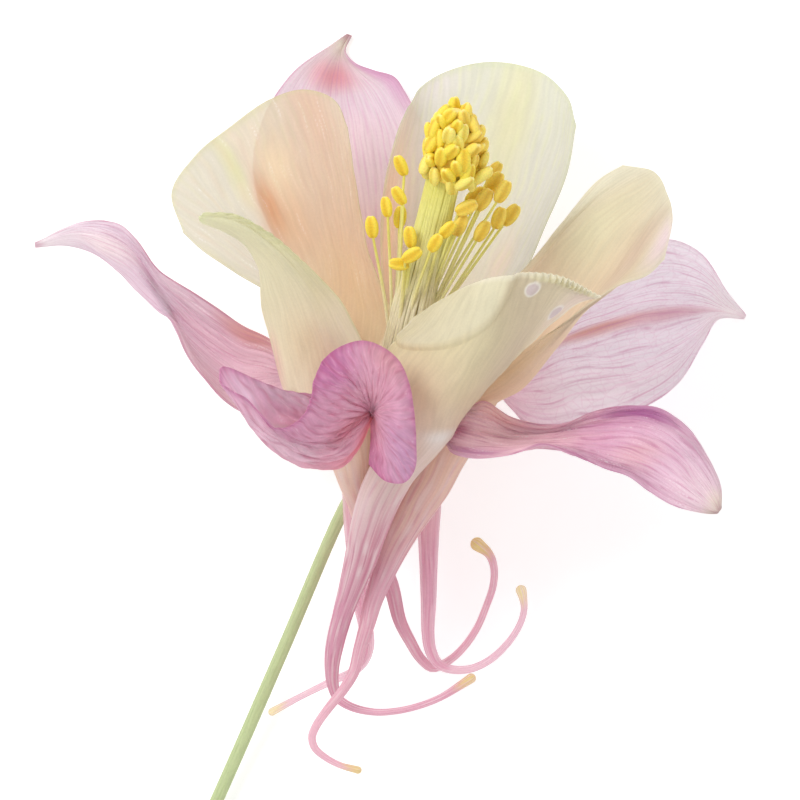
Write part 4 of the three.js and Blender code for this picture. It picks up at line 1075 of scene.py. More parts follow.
def make_sepal(name, node, material, claw, lines, seed, tip=None, rows=130, columns=76, reliefs=()):
    whole = []
    for share, line in zip(np.linspace(0, 1, len(lines)), lines):
        start = [in_flower(h, d, a) + sideways(a) * (share * 2 - 1) * w for h, d, a, w in claw]
        end = [np.array(tip[0]) * (1 - share) + np.array(tip[1]) * share] if tip else []
        whole.append([*start, *line, *end])
    grid = lattice(whole, rows, columns)
    maps = grid_map(rows, columns)
    widths = np.linalg.norm(np.diff(grid, axis=1), axis=2).sum(axis=1)[:, None]
    room = np.minimum(widths / widths.max() * 2, 1)  # the relief fades in rows under half of the full width,
    room = room * np.clip((1.1 - maps[..., 1]) / 0.3, 0, 1)  # and towards the rim
    grid = grid + face_normals(grid) * (heights(maps, seed, reliefs) * room)[..., None]
    thickness = np.minimum(thickness_of(rows, columns), NARROW_SHEET * widths)
    half = face_normals(grid) * thickness[..., None] / 2
    outer, inner = grid + half, grid - half
    skin = Skin()
    skin.add(outer, maps)
    skin.add(inner, maps, inside=True)
    add_rim(skin, outer, inner, maps, closed=True)
    skin.piece(name, [material], node, "sepal")


print("a claw starts at", in_flower(-3.6, 2.5, 207).round(1), "mm")

# %% [markdown]
# The back sepal stands behind everything, upright, with a pale lilac blade and a greenish, twisted tip.

# %% The back sepal
LILAC = (240, 228, 236)
DUSKY_ROSE = (228, 188, 204)

back_sepal_skin = sheet_material(
    "back_sepal_skin",
    stops=[
        (-1, DUSKY_ROSE), (0, DUSKY_ROSE), (0.3, (238, 200, 190)), (0.55, (244, 226, 228)), (0.8, LILAC),
        (0.93, (238, 226, 226)), (0.97, (234, 230, 214)), (1, (190, 180, 160)),
    ],
    spots=[
        (0.6, 0.885, 0.36, 0.07, (238, 176, 184), 0.9), (0.04, 0.86, 0.16, 0.2, (226, 180, 212), 0.9),
        (0.5, 0.7, 0.3, 0.2, (246, 228, 232), 0.7),
    ],
    veins=[(26, 0.3, 1.2, 0.2, 0.5, (226, 178, 210), 0.4), (44, 0.3, 2, 0.5, 0.8, (214, 150, 190), 0.25)],
    margin=[((200, 122, 166), 0.4)],
)
make_sepal(
    "back_sepal", "sepal_back", back_sepal_skin,
    claw=[[-3.6, 2.5, 207, 0.3], [-3.2, 4.4, 207, 0.35], [-2.6, 7.4, 206, 0.7], [-1.6, 10.4, 203, 2.3]],
    lines=[
        [[1.2, 12.6, -11.4], [3, 20, -13.2], [3.2, 25.5, -14.4], [1.6, 28.8, -15.2], [0.4, 31, -15.8],
         [-0.6, 32.4, -16.3], [-2.6, 33, -17], [-4.5, 33.7, -17.6], [-5.5, 35, -18.2]],
        [[-0.6, 12.8, -11.6], [0.2, 20, -13.8], [-0.2, 26.5, -16], [-2.2, 30.8, -17.2], [-4.2, 33, -18],
         [-5.6, 34.8, -18.4]],
        [[-2.6, 12.8, -11.2], [-3.6, 20, -13.6], [-4.5, 27, -16.4], [-5.3, 30.8, -18], [-5.7, 33.5, -18.9],
         [-5.8, 35.1, -18.8]],
        [[-4.9, 12, -10.4], [-8.2, 19, -12.2], [-9.8, 26, -15], [-9.4, 30.8, -16.9], [-7.6, 34, -18.2],
         [-6.1, 35.4, -18.5]],
        [[-7.6, 11.2, -9], [-12.8, 16.8, -10], [-14.7, 23, -11.8], [-13.6, 28.4, -14.2],
         [-10.6, 32.9, -16.8], [-7, 35.5, -18.2]],
    ],
    tip=[[-4.8, 36.5, -18.5], [-5.3, 36.7, -18.4]],
    seed=21,
    reliefs=[(ribs, 12, 0.03), (wrinkles, 51, 16, 0.03)],
)

# %% [markdown]
# The right sepal lies on the table. Rose veins branch over its pale blade, and a fold runs out to its tip,
# with a pink shade painted along it.

# %% The right sepal
right_sepal_skin = sheet_material(
    "right_sepal_skin",
    stops=[
        (-1, DUSKY_ROSE), (0, DUSKY_ROSE), (0.3, (238, 208, 220)), (0.5, (250, 242, 250)),
        (0.85, (252, 246, 252)), (1, (254, 252, 250)),
    ],
    spots=[
        # painted shade: the salmon and rose patches at 0.49 and 0.48 across are the pink shadow along the
        # fold
        (0.49, 0.6, 0.07, 0.3, (228, 178, 168), 1), (0.48, 0.8, 0.08, 0.25, (232, 196, 206), 0.9),
        (0.15, 0.6, 0.2, 0.3, (252, 242, 248), 0.7),
    ],
    veins=[
        (15, 0.14, 1.6, 0.05, 0.25, (206, 138, 176), 0.5), (44, 0.25, 2.4, 0.1, 0.35, (210, 146, 184), 0.25),
    ],
    net=[(26, 34, 0.1, (220, 170, 200), 0.2)], margin=[((226, 186, 206), 0.3)],
)
make_sepal(
    "right_sepal", "sepal_back_right", right_sepal_skin,
    claw=[[-3.6, 2.5, 136, 0.3], [-3.2, 4.4, 136, 0.32], [-2.6, 7.4, 136, 0.5], [-2, 10.4, 136, 1]],
    lines=[
        [[11.2, -0.9, -8.5], [14, -3.4, -9], [19.4, -2.9, -10.2], [24.3, -0.8, -12], [27.9, 1.7, -14.2],
         [30.4, 5.6, -16.6], [31.9, 8.1, -17.8]],
        [[11.2, 1.2, -10.2], [17, 2.8, -12.8], [22.5, 3.5, -15], [26.6, 4.6, -16.8], [29.6, 6.5, -18],
         [32, 8.4, -18.5]],
        [[10.8, 3.2, -11], [16.4, 6, -14.2], [22, 7.8, -16.8], [27.2, 8.9, -18.4], [30.6, 9.2, -18.9],
         [32.4, 8.9, -18.8]],
        [[10.5, 4.8, -10.8], [16, 8.2, -13.4], [22, 11, -15.6], [27, 12.2, -17], [30.5, 11.5, -17.6],
         [32.7, 9.6, -18.3]],
        [[10, 6.5, -10], [16, 11.4, -11.6], [22, 14.8, -12.8], [26.8, 16, -13.6], [30.1, 14.7, -14.8],
         [32.8, 10.8, -16.8]],
    ],
    tip=[[34.5, 8.1, -18.3], [34.7, 8.5, -18.2]],
    seed=22,
    reliefs=[(ribs, 14, 0.03), (wrinkles, 52, 16, 0.06), (crease, (0.46, 0.4), (0.5, 1), 0.03, -0.3)],
)

# %% [markdown]
# The left sepal is a long pink trough with fine veins and a pale tip.

# %% The left sepal
left_sepal_skin = sheet_material(
    "left_sepal_skin",
    stops=[
        (-1, DUSKY_ROSE), (0, DUSKY_ROSE), (0.3, (236, 206, 216)), (0.5, (238, 214, 226)),
        (0.68, (242, 222, 234)), (0.85, (248, 236, 244)), (1, (252, 248, 248)),
    ],
    spots=[
        (0.05, 0.33, 0.2, 0.14, (230, 176, 166), 0.8), (0.42, 0.82, 0.3, 0.14, (248, 236, 236), 0.8),
        (0.12, 0.55, 0.12, 0.16, (246, 226, 234), 0.7), (0.35, 0.48, 0.12, 0.14, (246, 220, 230), 0.6),
    ],
    veins=[(16, 0.16, 1.4, 0.1, 0.3, (204, 138, 170), 0.45), (40, 0.3, 2.2, 0.2, 0.4, (214, 156, 184), 0.4)],
    margin=[((204, 134, 164), 0.45)], glint=0.6,
)
make_sepal(
    "left_sepal", "sepal_left", left_sepal_skin,
    claw=[[-3.6, 2.5, 276, 0.3], [-3.2, 4.4, 276, 0.32], [-2.8, 7.2, 277, 0.5], [-2.6, 9, 277, 1.1]],
    lines=[
        [[-12.8, 6, -2], [-15.6, 7.4, -2.4], [-20.1, 10.4, -1.4], [-23.9, 12.7, 0.2], [-26.3, 16, 1],
         [-28.2, 17.6, 0.6], [-31.8, 17.7, -0.6]],
        [[-13.2, 4.4, -3.6], [-15.8, 5.2, -4.6], [-20.6, 8.6, -3.6], [-23.9, 11.6, -1.2], [-26.6, 15, 0.4],
         [-28.8, 16.4, 0.4], [-32.1, 16.9, -0.7]],
        [[-13.4, 2.7, -4], [-16, 3, -5.4], [-21, 6.8, -4.7], [-23.9, 10.4, -2.2], [-26.8, 13.6, 0],
         [-29.5, 15, -0.3], [-32.3, 16.2, -1.2]],
        [[-13.2, 1.2, -2.6], [-15.8, 0.7, -3], [-20.8, 4.6, -2.6], [-23.5, 9.2, -3.2], [-26, 11.9, -2.8],
         [-28.6, 13.8, -2.6], [-32.3, 15.7, -2.1]],
        [[-12.6, -0.2, 0.2], [-15.4, -1.3, 0.6], [-20.1, 2.8, 0.6], [-22.5, 7.6, -1.8], [-24.2, 9, -4],
         [-26.2, 10.9, -5], [-28.1, 13, -4.6], [-30.5, 14.6, -3.6], [-33.4, 15.4, -2.8]],
    ],
    tip=[[-36.4, 15.7, -2.3], [-36.4, 15.2, -2.5]],
    seed=23,
    reliefs=[(ribs, 10, 0.04), (wrinkles, 53, 15, 0.09), (crease, (0.3, 0.3), (0.45, 0.8), 0.04, -0.25)],
)

# %% [markdown]
# The front right sepal comes over the horns towards us. A fold runs along its upper side, painted a deep
# magenta as the shade in it, and two sets of wrinkles crumple it, so its grid is a finer one. Pale patches
# are painted near its base to lift the shade there, from the petals above and from its own curve.

# %% The front right sepal
front_right_sepal_skin = sheet_material(
    "front_right_sepal_skin",
    stops=[
        (-1, DUSKY_ROSE), (0, (252, 220, 228)), (0.25, (252, 222, 230)), (0.4, (252, 220, 230)),
        (0.6, (238, 196, 218)), (0.8, (238, 208, 224)), (0.94, (246, 228, 234)), (1, (248, 244, 222)),
    ],
    spots=[
        # painted light: the pale patch at 0.62 across, near the base, lifts the shade there
        (0.3, 0.12, 0.4, 0.12, (210, 138, 176), 0.9), (0.62, 0.26, 0.25, 0.12, (254, 230, 232), 0.8),
        # painted shade: the magenta patches at 0.88 and 0.66 across deepen the colour in the folds, where
        # shade lies
        (0.88, 0.64, 0.2, 0.14, (200, 130, 182), 1), (0.66, 0.52, 0.12, 0.2, (212, 150, 194), 0.7),
        # painted light: the pale patch at 0.92 across, near the base, lifts the shade there
        (0.36, 0.72, 0.28, 0.1, (234, 196, 200), 0.6), (0.92, 0.25, 0.25, 0.12, (254, 222, 218), 0.9),
        # painted shade: the deep magenta patch at 0.88 across deepens the fold along the upper side
        (0.88, 0.6, 0.08, 0.2, (188, 112, 170), 0.6), (0.42, 0.165, 0.34, 0.045, (206, 128, 158), 0.8),
        (0.1, 0.28, 0.14, 0.14, (206, 138, 190), 0.7), (0.1, 0.74, 0.14, 0.25, (224, 184, 204), 0.6),
        (0.72, 0.84, 0.2, 0.16, (244, 220, 234), 0.7),
    ],
    veins=[
        (13, 0.16, 1.4, 0.1, 0.25, (192, 110, 156), 0.45), (36, 0.3, 2.4, 0.2, 0.4, (200, 124, 166), 0.3),
    ],
    margin=[((198, 130, 172), 0.35)], glint=0.6,
)
make_sepal(
    "front_right_sepal", "sepal_front_right", front_right_sepal_skin,
    claw=[[-3.6, 2.5, 66, 0.3], [-3.2, 4.4, 65, 0.32], [-2.9, 5.8, 64, 0.5], [-2.9, 7, 63, 0.9]],
    lines=[
        [[5.2, -5.2, 5.2], [8.6, -5.6, 7], [11.4, -5.1, 7], [14, -4.4, 7.2], [16.7, -5.2, 8.4],
         [19.9, -6.6, 10.6], [22.8, -7.6, 12.2], [24.8, -9.1, 12.9], [27.2, -10.5, 13.4],
         [29.8, -11.2, 13.4]],
        [[4.6, -4, 3.6], [9.6, -5, 4.5], [13.6, -4.7, 5.5], [18, -5, 8.3], [22.5, -6.3, 11],
         [26, -7.9, 12.5], [28.8, -9.7, 13.5], [30.7, -10.9, 13.4]],
        [[5.7, -2.8, 2.4], [10.8, -4, 2.2], [14.6, -4, 3.5], [19, -3.8, 7], [23.6, -4, 9.5],
         [27.1, -5.6, 11], [29.7, -8.2, 12.5], [31.2, -10.2, 13.1]],
        [[6.9, -1.4, 1.9], [11.2, -2.9, 1.8], [14.7, -3.3, 2.5], [19, -2.5, 5], [23.6, -1.9, 7.5],
         [27.4, -3.4, 9], [30.1, -6.2, 11], [31.6, -9.2, 12.5]],
        [[8.2, -0.1, 2.1], [10.8, -1.6, 2.6], [14, -2.5, 3], [16.6, -2.3, 4], [19.4, -1.1, 5],
         [22.9, -0.6, 6], [26, -0.9, 6.8], [28.7, -2.9, 8.2], [30.6, -5.8, 10], [31.8, -8.6, 11.6]],
    ],
    tip=[[31.5, -11.3, 12.8], [31.9, -10.8, 12.5]],
    seed=24, columns=136,
    reliefs=[
        (ribs, 9, 0.05), (wrinkles, 54, 14, 0.12), (wrinkles, 57, 26, 0.08),
        (crease, (0.58, 0.25), (0.62, 0.85), 0.05, -0.3),
    ],
)

# %% [markdown]
# The front sepal is curled into a hood that stands up in the middle and runs out to a long trough on the
# left. Its lines fan out from the claw like the ribs of a shell, so it needs many more of them. The trough is
# crumpled and the hood is smooth.

# %% The front sepal
front_sepal_skin = sheet_material(
    "front_sepal_skin",
    stops=[
        # painted light: the pale peach at the claw, at 0 and 0.12, is lighter than its own colour, to lift
        # the shade in the deep funnel
        (-1, DUSKY_ROSE), (0, (252, 214, 184)), (0.12, (250, 200, 180)), (0.3, (240, 166, 172)),
        (0.5, (238, 176, 192)), (0.75, (238, 192, 212)), (0.95, (230, 182, 208)), (1, (222, 162, 198)),
    ],
    spots=[
        (0.19, 0.75, 0.12, 0.35, (252, 228, 240), 0.9), (0.22, 0.5, 0.08, 0.18, (248, 212, 228), 0.8),
        (0.33, 0.55, 0.09, 0.3, (232, 146, 160), 0.8), (0.5, 0.98, 0.1, 0.25, (212, 136, 188), 0.9),
        (0.66, 0.97, 0.1, 0.16, (226, 174, 186), 0.9), (0.86, 0.93, 0.11, 0.3, (218, 174, 208), 1),
        (0.97, 0.95, 0.06, 0.3, (216, 138, 180), 0.8), (0.05, 0.92, 0.08, 0.3, (226, 202, 218), 0.9),
        (0.11, 0.72, 0.02, 0.06, (222, 228, 208), 1), (0.12, 0.9, 0.03, 0.12, (240, 214, 232), 0.8),
    ],
    veins=[(46, 0.3, 2.4, 0.25, 0.6, (196, 104, 142), 0.42), (80, 0.35, 5, 0.2, 0.4, (246, 206, 222), 0.3)],
    margin=[((198, 112, 160), 0.4)], files=(150, 14, 0.08), glint=0.3,
)
make_sepal(
    "front_sepal", "sepal_front", front_sepal_skin,
    claw=[[-3.6, 2.5, -12, 0.3], [-3.2, 4.2, -12, 0.32], [-2.8, 5.8, -14, 0.5]],
    lines=[
        [[-4.6, -1.2, 7.6], [-6.6, -0.6, 9.2], [-8.7, 0.6, 10.6]],
        [[-4.5, -2.2, 8], [-8, -1.6, 11.2], [-11.5, 1, 14.2]],
        [[-4, -2.8, 8.4], [-8.8, -3.6, 13], [-12.2, -1.4, 16.2], [-14.6, 2.2, 19.6]],
        [[-3, -2.2, 8.9], [-5.4, -6.1, 12.8], [-9.4, -6.5, 17], [-13.8, -3.7, 21.4], [-17.7, 3.2, 25]],
        [[-3, -2, 10.4], [-5.5, -5.6, 14.6], [-9.8, -5.8, 19.4], [-14.2, -2.9, 23.4], [-17.6, 1.6, 26]],
        [[-3, -1.6, 11.6], [-5.8, -4.8, 15.6], [-9.3, -4.9, 20], [-12.8, -2.9, 23.4], [-15.3, 0.2, 25.6]],
        [[-3.1, -1.4, 12.2], [-6, -4, 16], [-9.4, -4.3, 20.4], [-12.6, -2.7, 23.9]],
        [[-3.2, -1.3, 12.6], [-6.1, -3.1, 16.2], [-8.4, -3.5, 19.2], [-10.6, -2.4, 22]],
        [[-3.2, -1.1, 12.8], [-6.1, -2.1, 16.2], [-9.3, -1.1, 20.2]],
        [[-3.2, -1.1, 13], [-6.1, -0.8, 16.3], [-8.8, 0.2, 19.2]],
        [[-3.1, -0.9, 13], [-5.8, 0.6, 16.2], [-8.5, 2, 17.9]],
        [[-3, -0.8, 13], [-5.2, 1.9, 16.1], [-7.5, 4.1, 16.9]],
        [[-2.9, -0.8, 13], [-4.3, 2.8, 16], [-5.7, 5.4, 16.3]],
        [[-2.8, -0.8, 13], [-3.1, 3.2, 15.9], [-3.7, 5.9, 15.9]],
        [[-2.6, -0.8, 13], [-1.9, 2.9, 15.9], [-1.8, 5.3, 15.6]],
        [[-2.5, -0.9, 13], [-0.9, 2, 16], [-0.1, 3.9, 15.5]],
        [[-2.5, -1, 13], [-0.3, 0.5, 16.1], [0.9, 1.7, 15.5]],
        [[-2.4, -1.1, 13], [-0.1, -1.3, 16.1], [1.4, -1.2, 15.3]],
        [[-2.5, -1.3, 12.8], [-0.2, -3.1, 15.7], [1.6, -4.2, 14.9]],
        [[-2.5, -1.4, 12.4], [-0.5, -4.6, 15], [1.5, -6.8, 14]],
        [[-2.5, -1.5, 11.8], [-1.1, -5.3, 14], [0.4, -8.2, 13]],
        [[-2.6, -1.5, 10.8], [-1.9, -5, 12.9], [-1.5, -8, 12.2]],
        [[-2.8, -1.5, 9.7], [-2.9, -4.2, 11.4], [-3.1, -6.4, 11.6]],
    ],
    seed=25, rows=92, columns=230,
    reliefs=[(wrinkles, 55, 40, 0.24, 0.52), (wrinkles, 56, 22, 0.2, 0.6)],
)

# %% [markdown]
# ## Stalk and receptacle
#
# The stalk is a slim rod that bends down to the table. At its top it swells into the receptacle, the small
# dome that carries all the organs. A curve with a bevel could do it, but the same rings as the spurs give us
# the map along it, and we need that for its streaks. Its fine down is thousands of tiny pointed hairs.

# %% Tubes
END_ROWS = 3  # rows that close a rod's end


def tube(skin, line, radii, sides, rows, flat=1.0):
    """A round rod with rounded ends, whose radii are spread evenly along the line. Gives its middle line."""
    centres = on_line(line, even_shares(line, rows))
    girths = np.interp(np.linspace(0, 1, rows + 1), np.linspace(0, 1, len(radii)), radii)
    turn = np.linspace(0, 2 * np.pi, sides + 1)
    side = np.cross(centres[1] - centres[0], FRONT)
    rings = []
    for k, (centre, girth) in enumerate(zip(centres, girths)):
        forward = unit(centres[min(k + 1, rows)] - centres[max(k - 1, 0)])
        side = unit(side - (side @ forward) * forward)
        over = np.cross(forward, side)
        rings.append(centre + girth * (np.outer(np.cos(turn), side) + flat * np.outer(np.sin(turn), over)))
    first = round_end(rings[0], unit(centres[0] - centres[1]) * girths[0], END_ROWS)
    last = round_end(rings[-1], unit(centres[-1] - centres[-2]) * girths[-1], END_ROWS)[::-1]
    whole = np.concatenate([first, rings, last])
    skin.add(whole, grid_map(len(whole) - 1, sides))
    return centres


def axis_rings(profile, sides, rows):
    """Rings round the flower's axis through (height, radius) pairs."""
    places = on_line([[h, r, 0] for h, r in profile], np.linspace(0, 1, rows + 1))
    angles = np.linspace(0, 360, sides + 1)
    return np.array([[in_flower(h, max(r, 0), a) for a in angles] for h, r, _ in places])


def rod_material(name, stops, streaks=(), through=0.2):
    """A stem's or thread's finish: a ramp along it, with fine streaks of another colour."""
    return sheet_material(name, stops, veins=streaks, files=(20, 40, 0.05), through=through)


print("a ring round the axis:", axis_rings([(0, 1), (1, 1)], 4, 1)[0].round(2).tolist()[:2])

# %% The stalk
STALK = [
    [-1.27, -1.4, -2.5], [-1.8, -3.7, -5.6], [-3.1, -6.8, -9.2], [-5.6, -10.9, -11.7], [-11.5, -24.5, -15.4],
    [-18.3, -40, -17.4], [-24.7, -54, -18.3], [-30.2, -66, -18.6],
]
STALK_TOP = -5.0  # mm along the axis, inside the receptacle
STALK_RADIUS = 0.65
STALK_GIRTHS = (1.05, 1.0, 0.97, 0.98, 1.0, 1.0, 0.98, 1.0, 1.02)  # shares of the radius, from its top down
STALK_SIDES, STALK_ROWS = 24, 220
RECEPTACLE = [
    (-6.3, 0.66), (-5.4, 1.2), (-4.4, 1.95), (-2.5, 2), (-0.6, 2), (0.2, 1.7), (0.5, 1.2), (0.55, 0),
]
DOME_STEPS = 40
HAIRS = 5200
HAIR_WIDTH = 0.014  # mm, half of it at the root
HAIR_DEPTH = 0.03  # mm that its root is sunk into the stalk
TABLE_GAP = 0.25  # mm above the table in which the stalk has no hairs


def add_down(skin, centres):
    """Hairs all round the stalk, each a slim pyramid that leans a little."""
    draw = np.random.default_rng(31)
    for _ in range(HAIRS):
        k = draw.integers(2, STALK_ROWS - 1)
        forward = unit(centres[k + 1] - centres[k - 1])
        out = unit(np.cross(forward, draw.normal(size=3)))
        root = centres[k] + out * (STALK_RADIUS - HAIR_DEPTH) + forward * draw.uniform(-0.15, 0.15)
        if root[2] + REST_HEIGHT < TABLE_GAP:
            continue
        tip = root + out * draw.uniform(0.10, 0.22) + forward * draw.uniform(-0.10, 0.04)
        side, over = HAIR_WIDTH * np.cross(out, forward), HAIR_WIDTH * forward
        base = np.array([root + side, root + over, root - side, root + side])
        skin.add(np.stack([base, np.repeat(tip[None], 4, axis=0)]), grid_map(1, 3), finish=1)


def make_stalk():
    skin = Skin()
    girths = [STALK_RADIUS * share for share in STALK_GIRTHS]
    centres = tube(skin, [in_flower(STALK_TOP, 0, 0), *STALK], girths, STALK_SIDES, STALK_ROWS)
    skin.add(axis_rings(RECEPTACLE, DOME_STEPS, DOME_STEPS), grid_map(DOME_STEPS, DOME_STEPS, 0.0, 0.02))
    add_down(skin, centres)
    green = rod_material(
        "stalk_green",
        stops=[(-1, (220, 216, 180)), (0, (220, 212, 180)), (0.06, (204, 214, 166)), (1, (200, 214, 162))],
        streaks=[(9, 0.3, 0.6, -1, -0.5, (176, 196, 134), 0.4)],
    )
    down = rod_material("pale_down", [(-1, (226, 230, 196)), (1, (226, 230, 196))], through=0.4)
    skin.piece("stem", [green, down], "stalk", "stalk")


make_stalk()

# %% [markdown]
# ## Stamens
#
# The column is a bundle of flat filaments, pale at the foot and yellow-green at the head. A ribbed solid
# would do from afar. Single threads with thin gaps between them catch the light as the real ones do, and a
# slim core closes the gaps. It has a material of its own, painted darker than the threads as the shade that
# lies down there. The outer stamens stand apart. Each is given by the middle of its anther and the way that
# this leans.

# %% The column of filaments
COLUMN = [(0.85, 1.75), (4, 1.85), (8, 1.78), (13, 1.62), (18, 1.5), (23.4, 1.5)]
COLUMN_CORE = [(0.7, 0), (0.8, 1.5), (4, 1.66), (8, 1.6), (13, 1.44), (18, 1.32), (23.5, 1.32), (23.6, 0)]
CORE_SIDES, CORE_ROWS = 40, 70
FILAMENTS = 34
THREAD_SIDES, THREAD_ROWS, LOOSE_ROWS = 10, 40, 36
FILAMENT_RADII = [0.16, 0.19, 0.21, 0.22, 0.20]
LOOSE_RADII = [0.17, 0.16, 0.13]
LOOSE_ROOT = 1.4  # mm along the axis
LOOSE = [
    [[-2.8, 17.2, 7.6], [-0.1, 1, 0.3]], [[-1.35, 19.2, 8], [-0.15, 1, 0.2]],
    [[-0.1, 20.3, 10.6], [-0.55, 0.9, 0.3]], [[0, 18.2, 6.4], [0.1, 1, 0.2]],
    [[0.1, 23.3, 9.2], [-0.4, 0.95, 0.3]], [[1, 16.2, 10], [-0.1, 1, 0.4]],
    [[1.2, 14.4, 10.6], [0.8, 0.5, 0.4]], [[-0.1, 13.5, 9.4], [-1, 0.1, 0.3]],
    [[3.5, 15.6, 11.9], [0.5, 0.8, 0.5]], [[4.7, 16.9, 11.6], [0.75, 0.8, 0.3]],
    [[5.95, 17.4, 10.4], [0.4, 1, 0.3]], [[6.6, 19.1, 11.6], [0.95, 0.45, 0.3]],
    [[7.5, 20.3, 8.6], [0.8, 0.6, 0.2]], [[8.3, 19.9, 10.6], [0.6, 0.9, 0.2]],
    [[9.3, 22.7, 7.4], [0.6, 0.8, 0.1]], [[9.4, 21.6, 9.4], [0.6, 0.85, 0.2]],
    [[10.2, 20.7, 11], [0.5, 0.9, 0.2]], [[8.15, 16.8, 9], [0.5, 0.9, 0.2]],
    [[9.8, 18.1, 8.2], [0.35, 1, 0.2]], [[11, 18.4, 6.4], [0.6, 0.8, 0.1]],
]
ANTHER_LENGTH = 1.15  # mm, half of it
ANTHER_WIDTH = 0.68
ANTHER_DEPTH = 0.40


def make_filaments():
    skin = Skin()
    skin.add(axis_rings(COLUMN_CORE, CORE_SIDES, CORE_ROWS), grid_map(CORE_ROWS, CORE_SIDES), finish=1)
    draw = np.random.default_rng(41)
    for k in range(FILAMENTS):
        angle = 360 * (k + draw.uniform(-0.2, 0.2)) / FILAMENTS
        path = [in_flower(h, r + draw.uniform(-0.06, 0.10), angle + draw.uniform(-4, 4)) for h, r in COLUMN]
        tube(skin, path, FILAMENT_RADII, THREAD_SIDES, THREAD_ROWS, flat=0.8)
    for place, lean in LOOSE:
        below = np.array(place) - unit(np.array(lean)) * ANTHER_LENGTH * 0.75
        off = below - CENTRE
        off = unit(off - (off @ AXIS) * AXIS)
        root = in_flower(LOOSE_ROOT, 0, 0) + off * 0.8
        middle = (root + below) / 2 - off * 0.25 + draw.normal(size=3) * 0.15
        tube(skin, [root, middle, below], LOOSE_RADII, THREAD_SIDES, LOOSE_ROWS)
    threads = rod_material(
        "filament_green",
        stops=[
            (-1, (254, 250, 234)), (0, (254, 250, 230)), (0.35, (254, 250, 218)), (0.7, (250, 248, 166)),
            (1, (246, 240, 112)),
        ],
        streaks=[(3, 0.35, 0.6, -1, -0.5, (226, 218, 130), 0.3)],
    )
    # painted shade: the core between the threads is darker than they are
    foot, top = (240, 226, 176), (236, 222, 100)
    gaps = rod_material("filament_gaps_painted_shade", [(-1, foot), (0.3, foot), (0.8, top), (1, top)])
    skin.piece("filaments", [threads, gaps], "stamens", "filament")


make_filaments()

# %% [markdown]
# An anther is a bean of two round lobes with a furrow between them on both faces, and a slight notch at each
# end. We shape one such bean as a grid and set copies of it on the threads and all round the head.

# %% One anther
BEAN_ROWS, BEAN_SIDES = 14, 24
POLLEN = 0.16  # mm, one grain of the finish
POLLEN_RISE = 0.03  # mm


def bean():
    """A grid of unit size: x across both lobes, y through them, z along."""
    turn = np.linspace(0, 2 * np.pi, BEAN_SIDES + 1)[None, :]
    lift = np.sin(np.linspace(-np.pi / 2, np.pi / 2, BEAN_ROWS + 1))[:, None]
    girth = np.sqrt(np.clip(1 - np.abs(lift) ** 2.2, 0, 1))
    furrow = 1 - 0.26 * np.exp(-((np.cos(turn) / 0.24) ** 2))
    x = girth * np.cos(turn) * (1 - 0.06 * np.cos(2 * turn))
    y = girth * np.sin(turn) * furrow
    z = lift * (1 - 0.10 * np.exp(-((x / 0.25) ** 2)) * np.abs(lift))
    return np.stack([x, y, z], axis=2)


BEAN = bean()


def add_anther(skin, place, lean, facing, size, finish, plump=1.0):
    up = unit(lean)
    side = unit(np.cross(up, facing))
    front = np.cross(side, up)
    scaled = BEAN * np.array([ANTHER_WIDTH, ANTHER_DEPTH * plump, ANTHER_LENGTH]) * size
    places = place + scaled[..., :1] * side - scaled[..., 1:2] * front + scaled[..., 2:] * up
    skin.add(places, grid_map(BEAN_ROWS, BEAN_SIDES), finish=finish)


def anther_material(name, colour, seam, edge):
    """Golden sacs: darker along the furrow, paler at the ends, and grainy with pollen."""
    material, tree, shader = new_material(name)
    place = use_group(tree, PLACE, Wander=0.06)
    grain = use_group(tree, GRAIN, Cell=POLLEN)["Cells"]
    furrow = soft_step(tree, calc(tree, "PINGPONG", place["Across"], 0.25), 0.13, 0.25)
    paint = blend(tree, furrow, ink(*colour), ink(*seam))
    off_middle = calc(tree, "ABSOLUTE", calc(tree, "SUBTRACT", place["Along"], 0.5))
    paint = blend(tree, times(tree, soft_step(tree, off_middle, 0.32, 0.5), 0.7), paint, ink(*edge))
    paint = shaded(tree, paint, soft_step(tree, grain, 0.3, 0.7, 0.93, 1.06))
    bump = tree.nodes.new("ShaderNodeBump")
    feed(tree, bump, {"Distance": POLLEN_RISE * MM, "Height": grain})
    rough = soft_step(tree, grain, 0.3, 0.7, 0.45, 0.7)
    feed(tree, shader, {"Base Color": paint, "Normal": bump.outputs["Normal"], "Roughness": rough})
    feed(tree, shader, {"Subsurface Weight": 0.15, "Subsurface Scale": 0.4 * MM})
    return material


GOLDS = [
    anther_material("anther_gold", (246, 222, 76), (230, 190, 44), (252, 242, 150)),
    anther_material("anther_ochre", (248, 220, 96), (228, 190, 62), (252, 236, 156)),
    anther_material("anther_pale", (246, 230, 116), (232, 206, 80), (252, 244, 178)),
]
GOLD, OCHRE, PALE = range(3)
print("a bean's grid:", BEAN.shape)

# %% The loose anthers
OCHRE_FROM = 5  # mm, anthers further to the right than this are ochre and larger


def make_loose_anthers():
    skin = Skin()
    draw = np.random.default_rng(42)
    for place, lean in LOOSE:
        finish = OCHRE if place[0] > OCHRE_FROM else GOLD
        size = draw.uniform(1.08, 1.24) if finish == OCHRE else draw.uniform(0.98, 1.12)
        add_anther(skin, np.array(place), np.array(lean), FRONT + draw.normal(size=3) * 0.3, size, finish)
    skin.piece("loose_anthers", GOLDS, "stamens", "anther")


make_loose_anthers()

# %% [markdown]
# In the head the anthers stand in a spiral, each turned from the last by the golden angle, so that they pack
# evenly with no rows or seams. A little seeded jitter keeps them from looking machined. An ochre core behind
# them closes the spaces between.

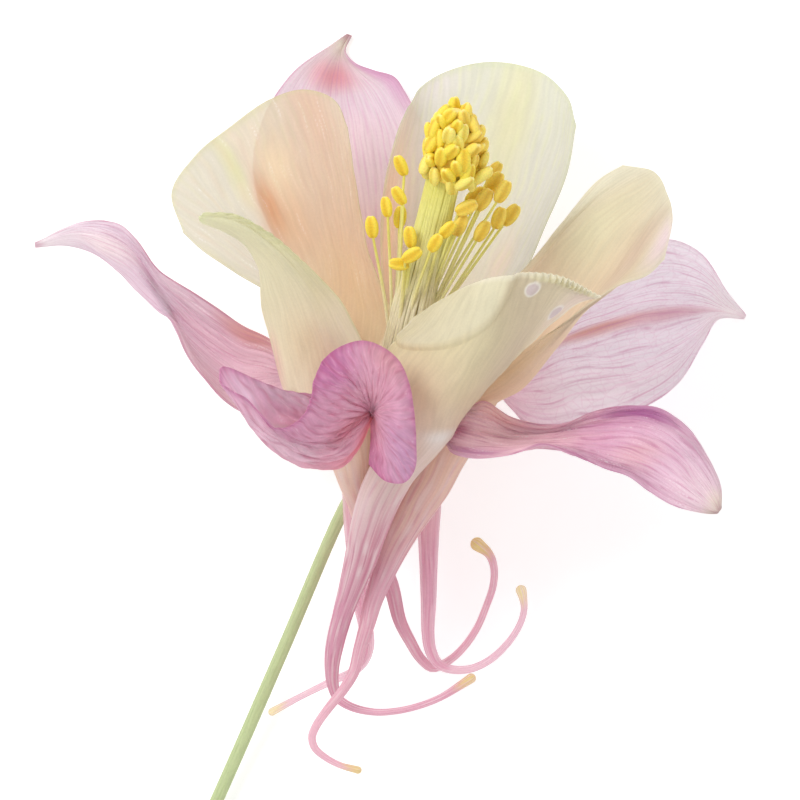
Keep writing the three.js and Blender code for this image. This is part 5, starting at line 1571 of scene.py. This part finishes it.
# %% The head
HEAD_LOW, HEAD_HIGH = 23.4, 30.6  # mm along the axis, where the first and the last anther stand
HEAD_RADIUS = 3.5
HEAD_SHIFT = 0.9  # mm to the right at its foot
HEAD_TILT = -1.3  # mm to the right from there to its top
HEAD_ANTHERS = 62
GOLDEN_ANGLE = 137.508
CORE_SHARE = 0.72  # of the head's radius
ANTHER_SHARE = 0.82
HEAD_SIDES, HEAD_ROWS = 32, 40  # of its core
PLUMP = 1.3  # how much deeper the anthers of the head are than the loose ones


def head_height(share):
    return HEAD_LOW + share * (HEAD_HIGH - HEAD_LOW)


def head_radius(share):
    """It bulges above its foot, and is slim at its top."""
    return HEAD_RADIUS * math.sqrt(math.sin(math.pi * (0.26 + share * 0.70)) * (1 - 0.35 * share))


def head_shift(share):
    return RIGHT * (HEAD_SHIFT + HEAD_TILT * share)


def make_head():
    skin = Skin()
    core = [(head_height(share), CORE_SHARE * head_radius(share)) for share in np.linspace(0, 1, 8)]
    core = [(core[0][0] + 0.6, 0), *core, (core[-1][0] + 0.1, 0)]
    rings = axis_rings(core, HEAD_SIDES, HEAD_ROWS)
    rings += head_shift(np.linspace(0, 1, HEAD_ROWS + 1)[:, None, None])
    skin.add(rings, grid_map(HEAD_ROWS, HEAD_SIDES), finish=OCHRE)
    draw = np.random.default_rng(43)
    for k in range(HEAD_ANTHERS):
        share = (k + 0.5) / HEAD_ANTHERS
        angle = k * GOLDEN_ANGLE + draw.uniform(-8, 8)
        reach = ANTHER_SHARE * head_radius(share) + draw.uniform(-0.25, 0.5)
        place = in_flower(head_height(share), reach, angle) + head_shift(share)
        lean = AXIS + outward(angle) * (0.5 - 0.7 * share) + draw.normal(size=3) * 0.3
        on_the_right = math.sin(math.radians(angle)) > 0.6
        finish = PALE if share < 0.2 or draw.random() < 0.2 else OCHRE if on_the_right else GOLD
        facing = outward(angle) + draw.normal(size=3) * 0.2
        add_anther(skin, place, lean, facing, draw.uniform(0.92, 1.22), finish, PLUMP)
    skin.piece("head_anthers", GOLDS, "anther_head", "anther")


make_head()
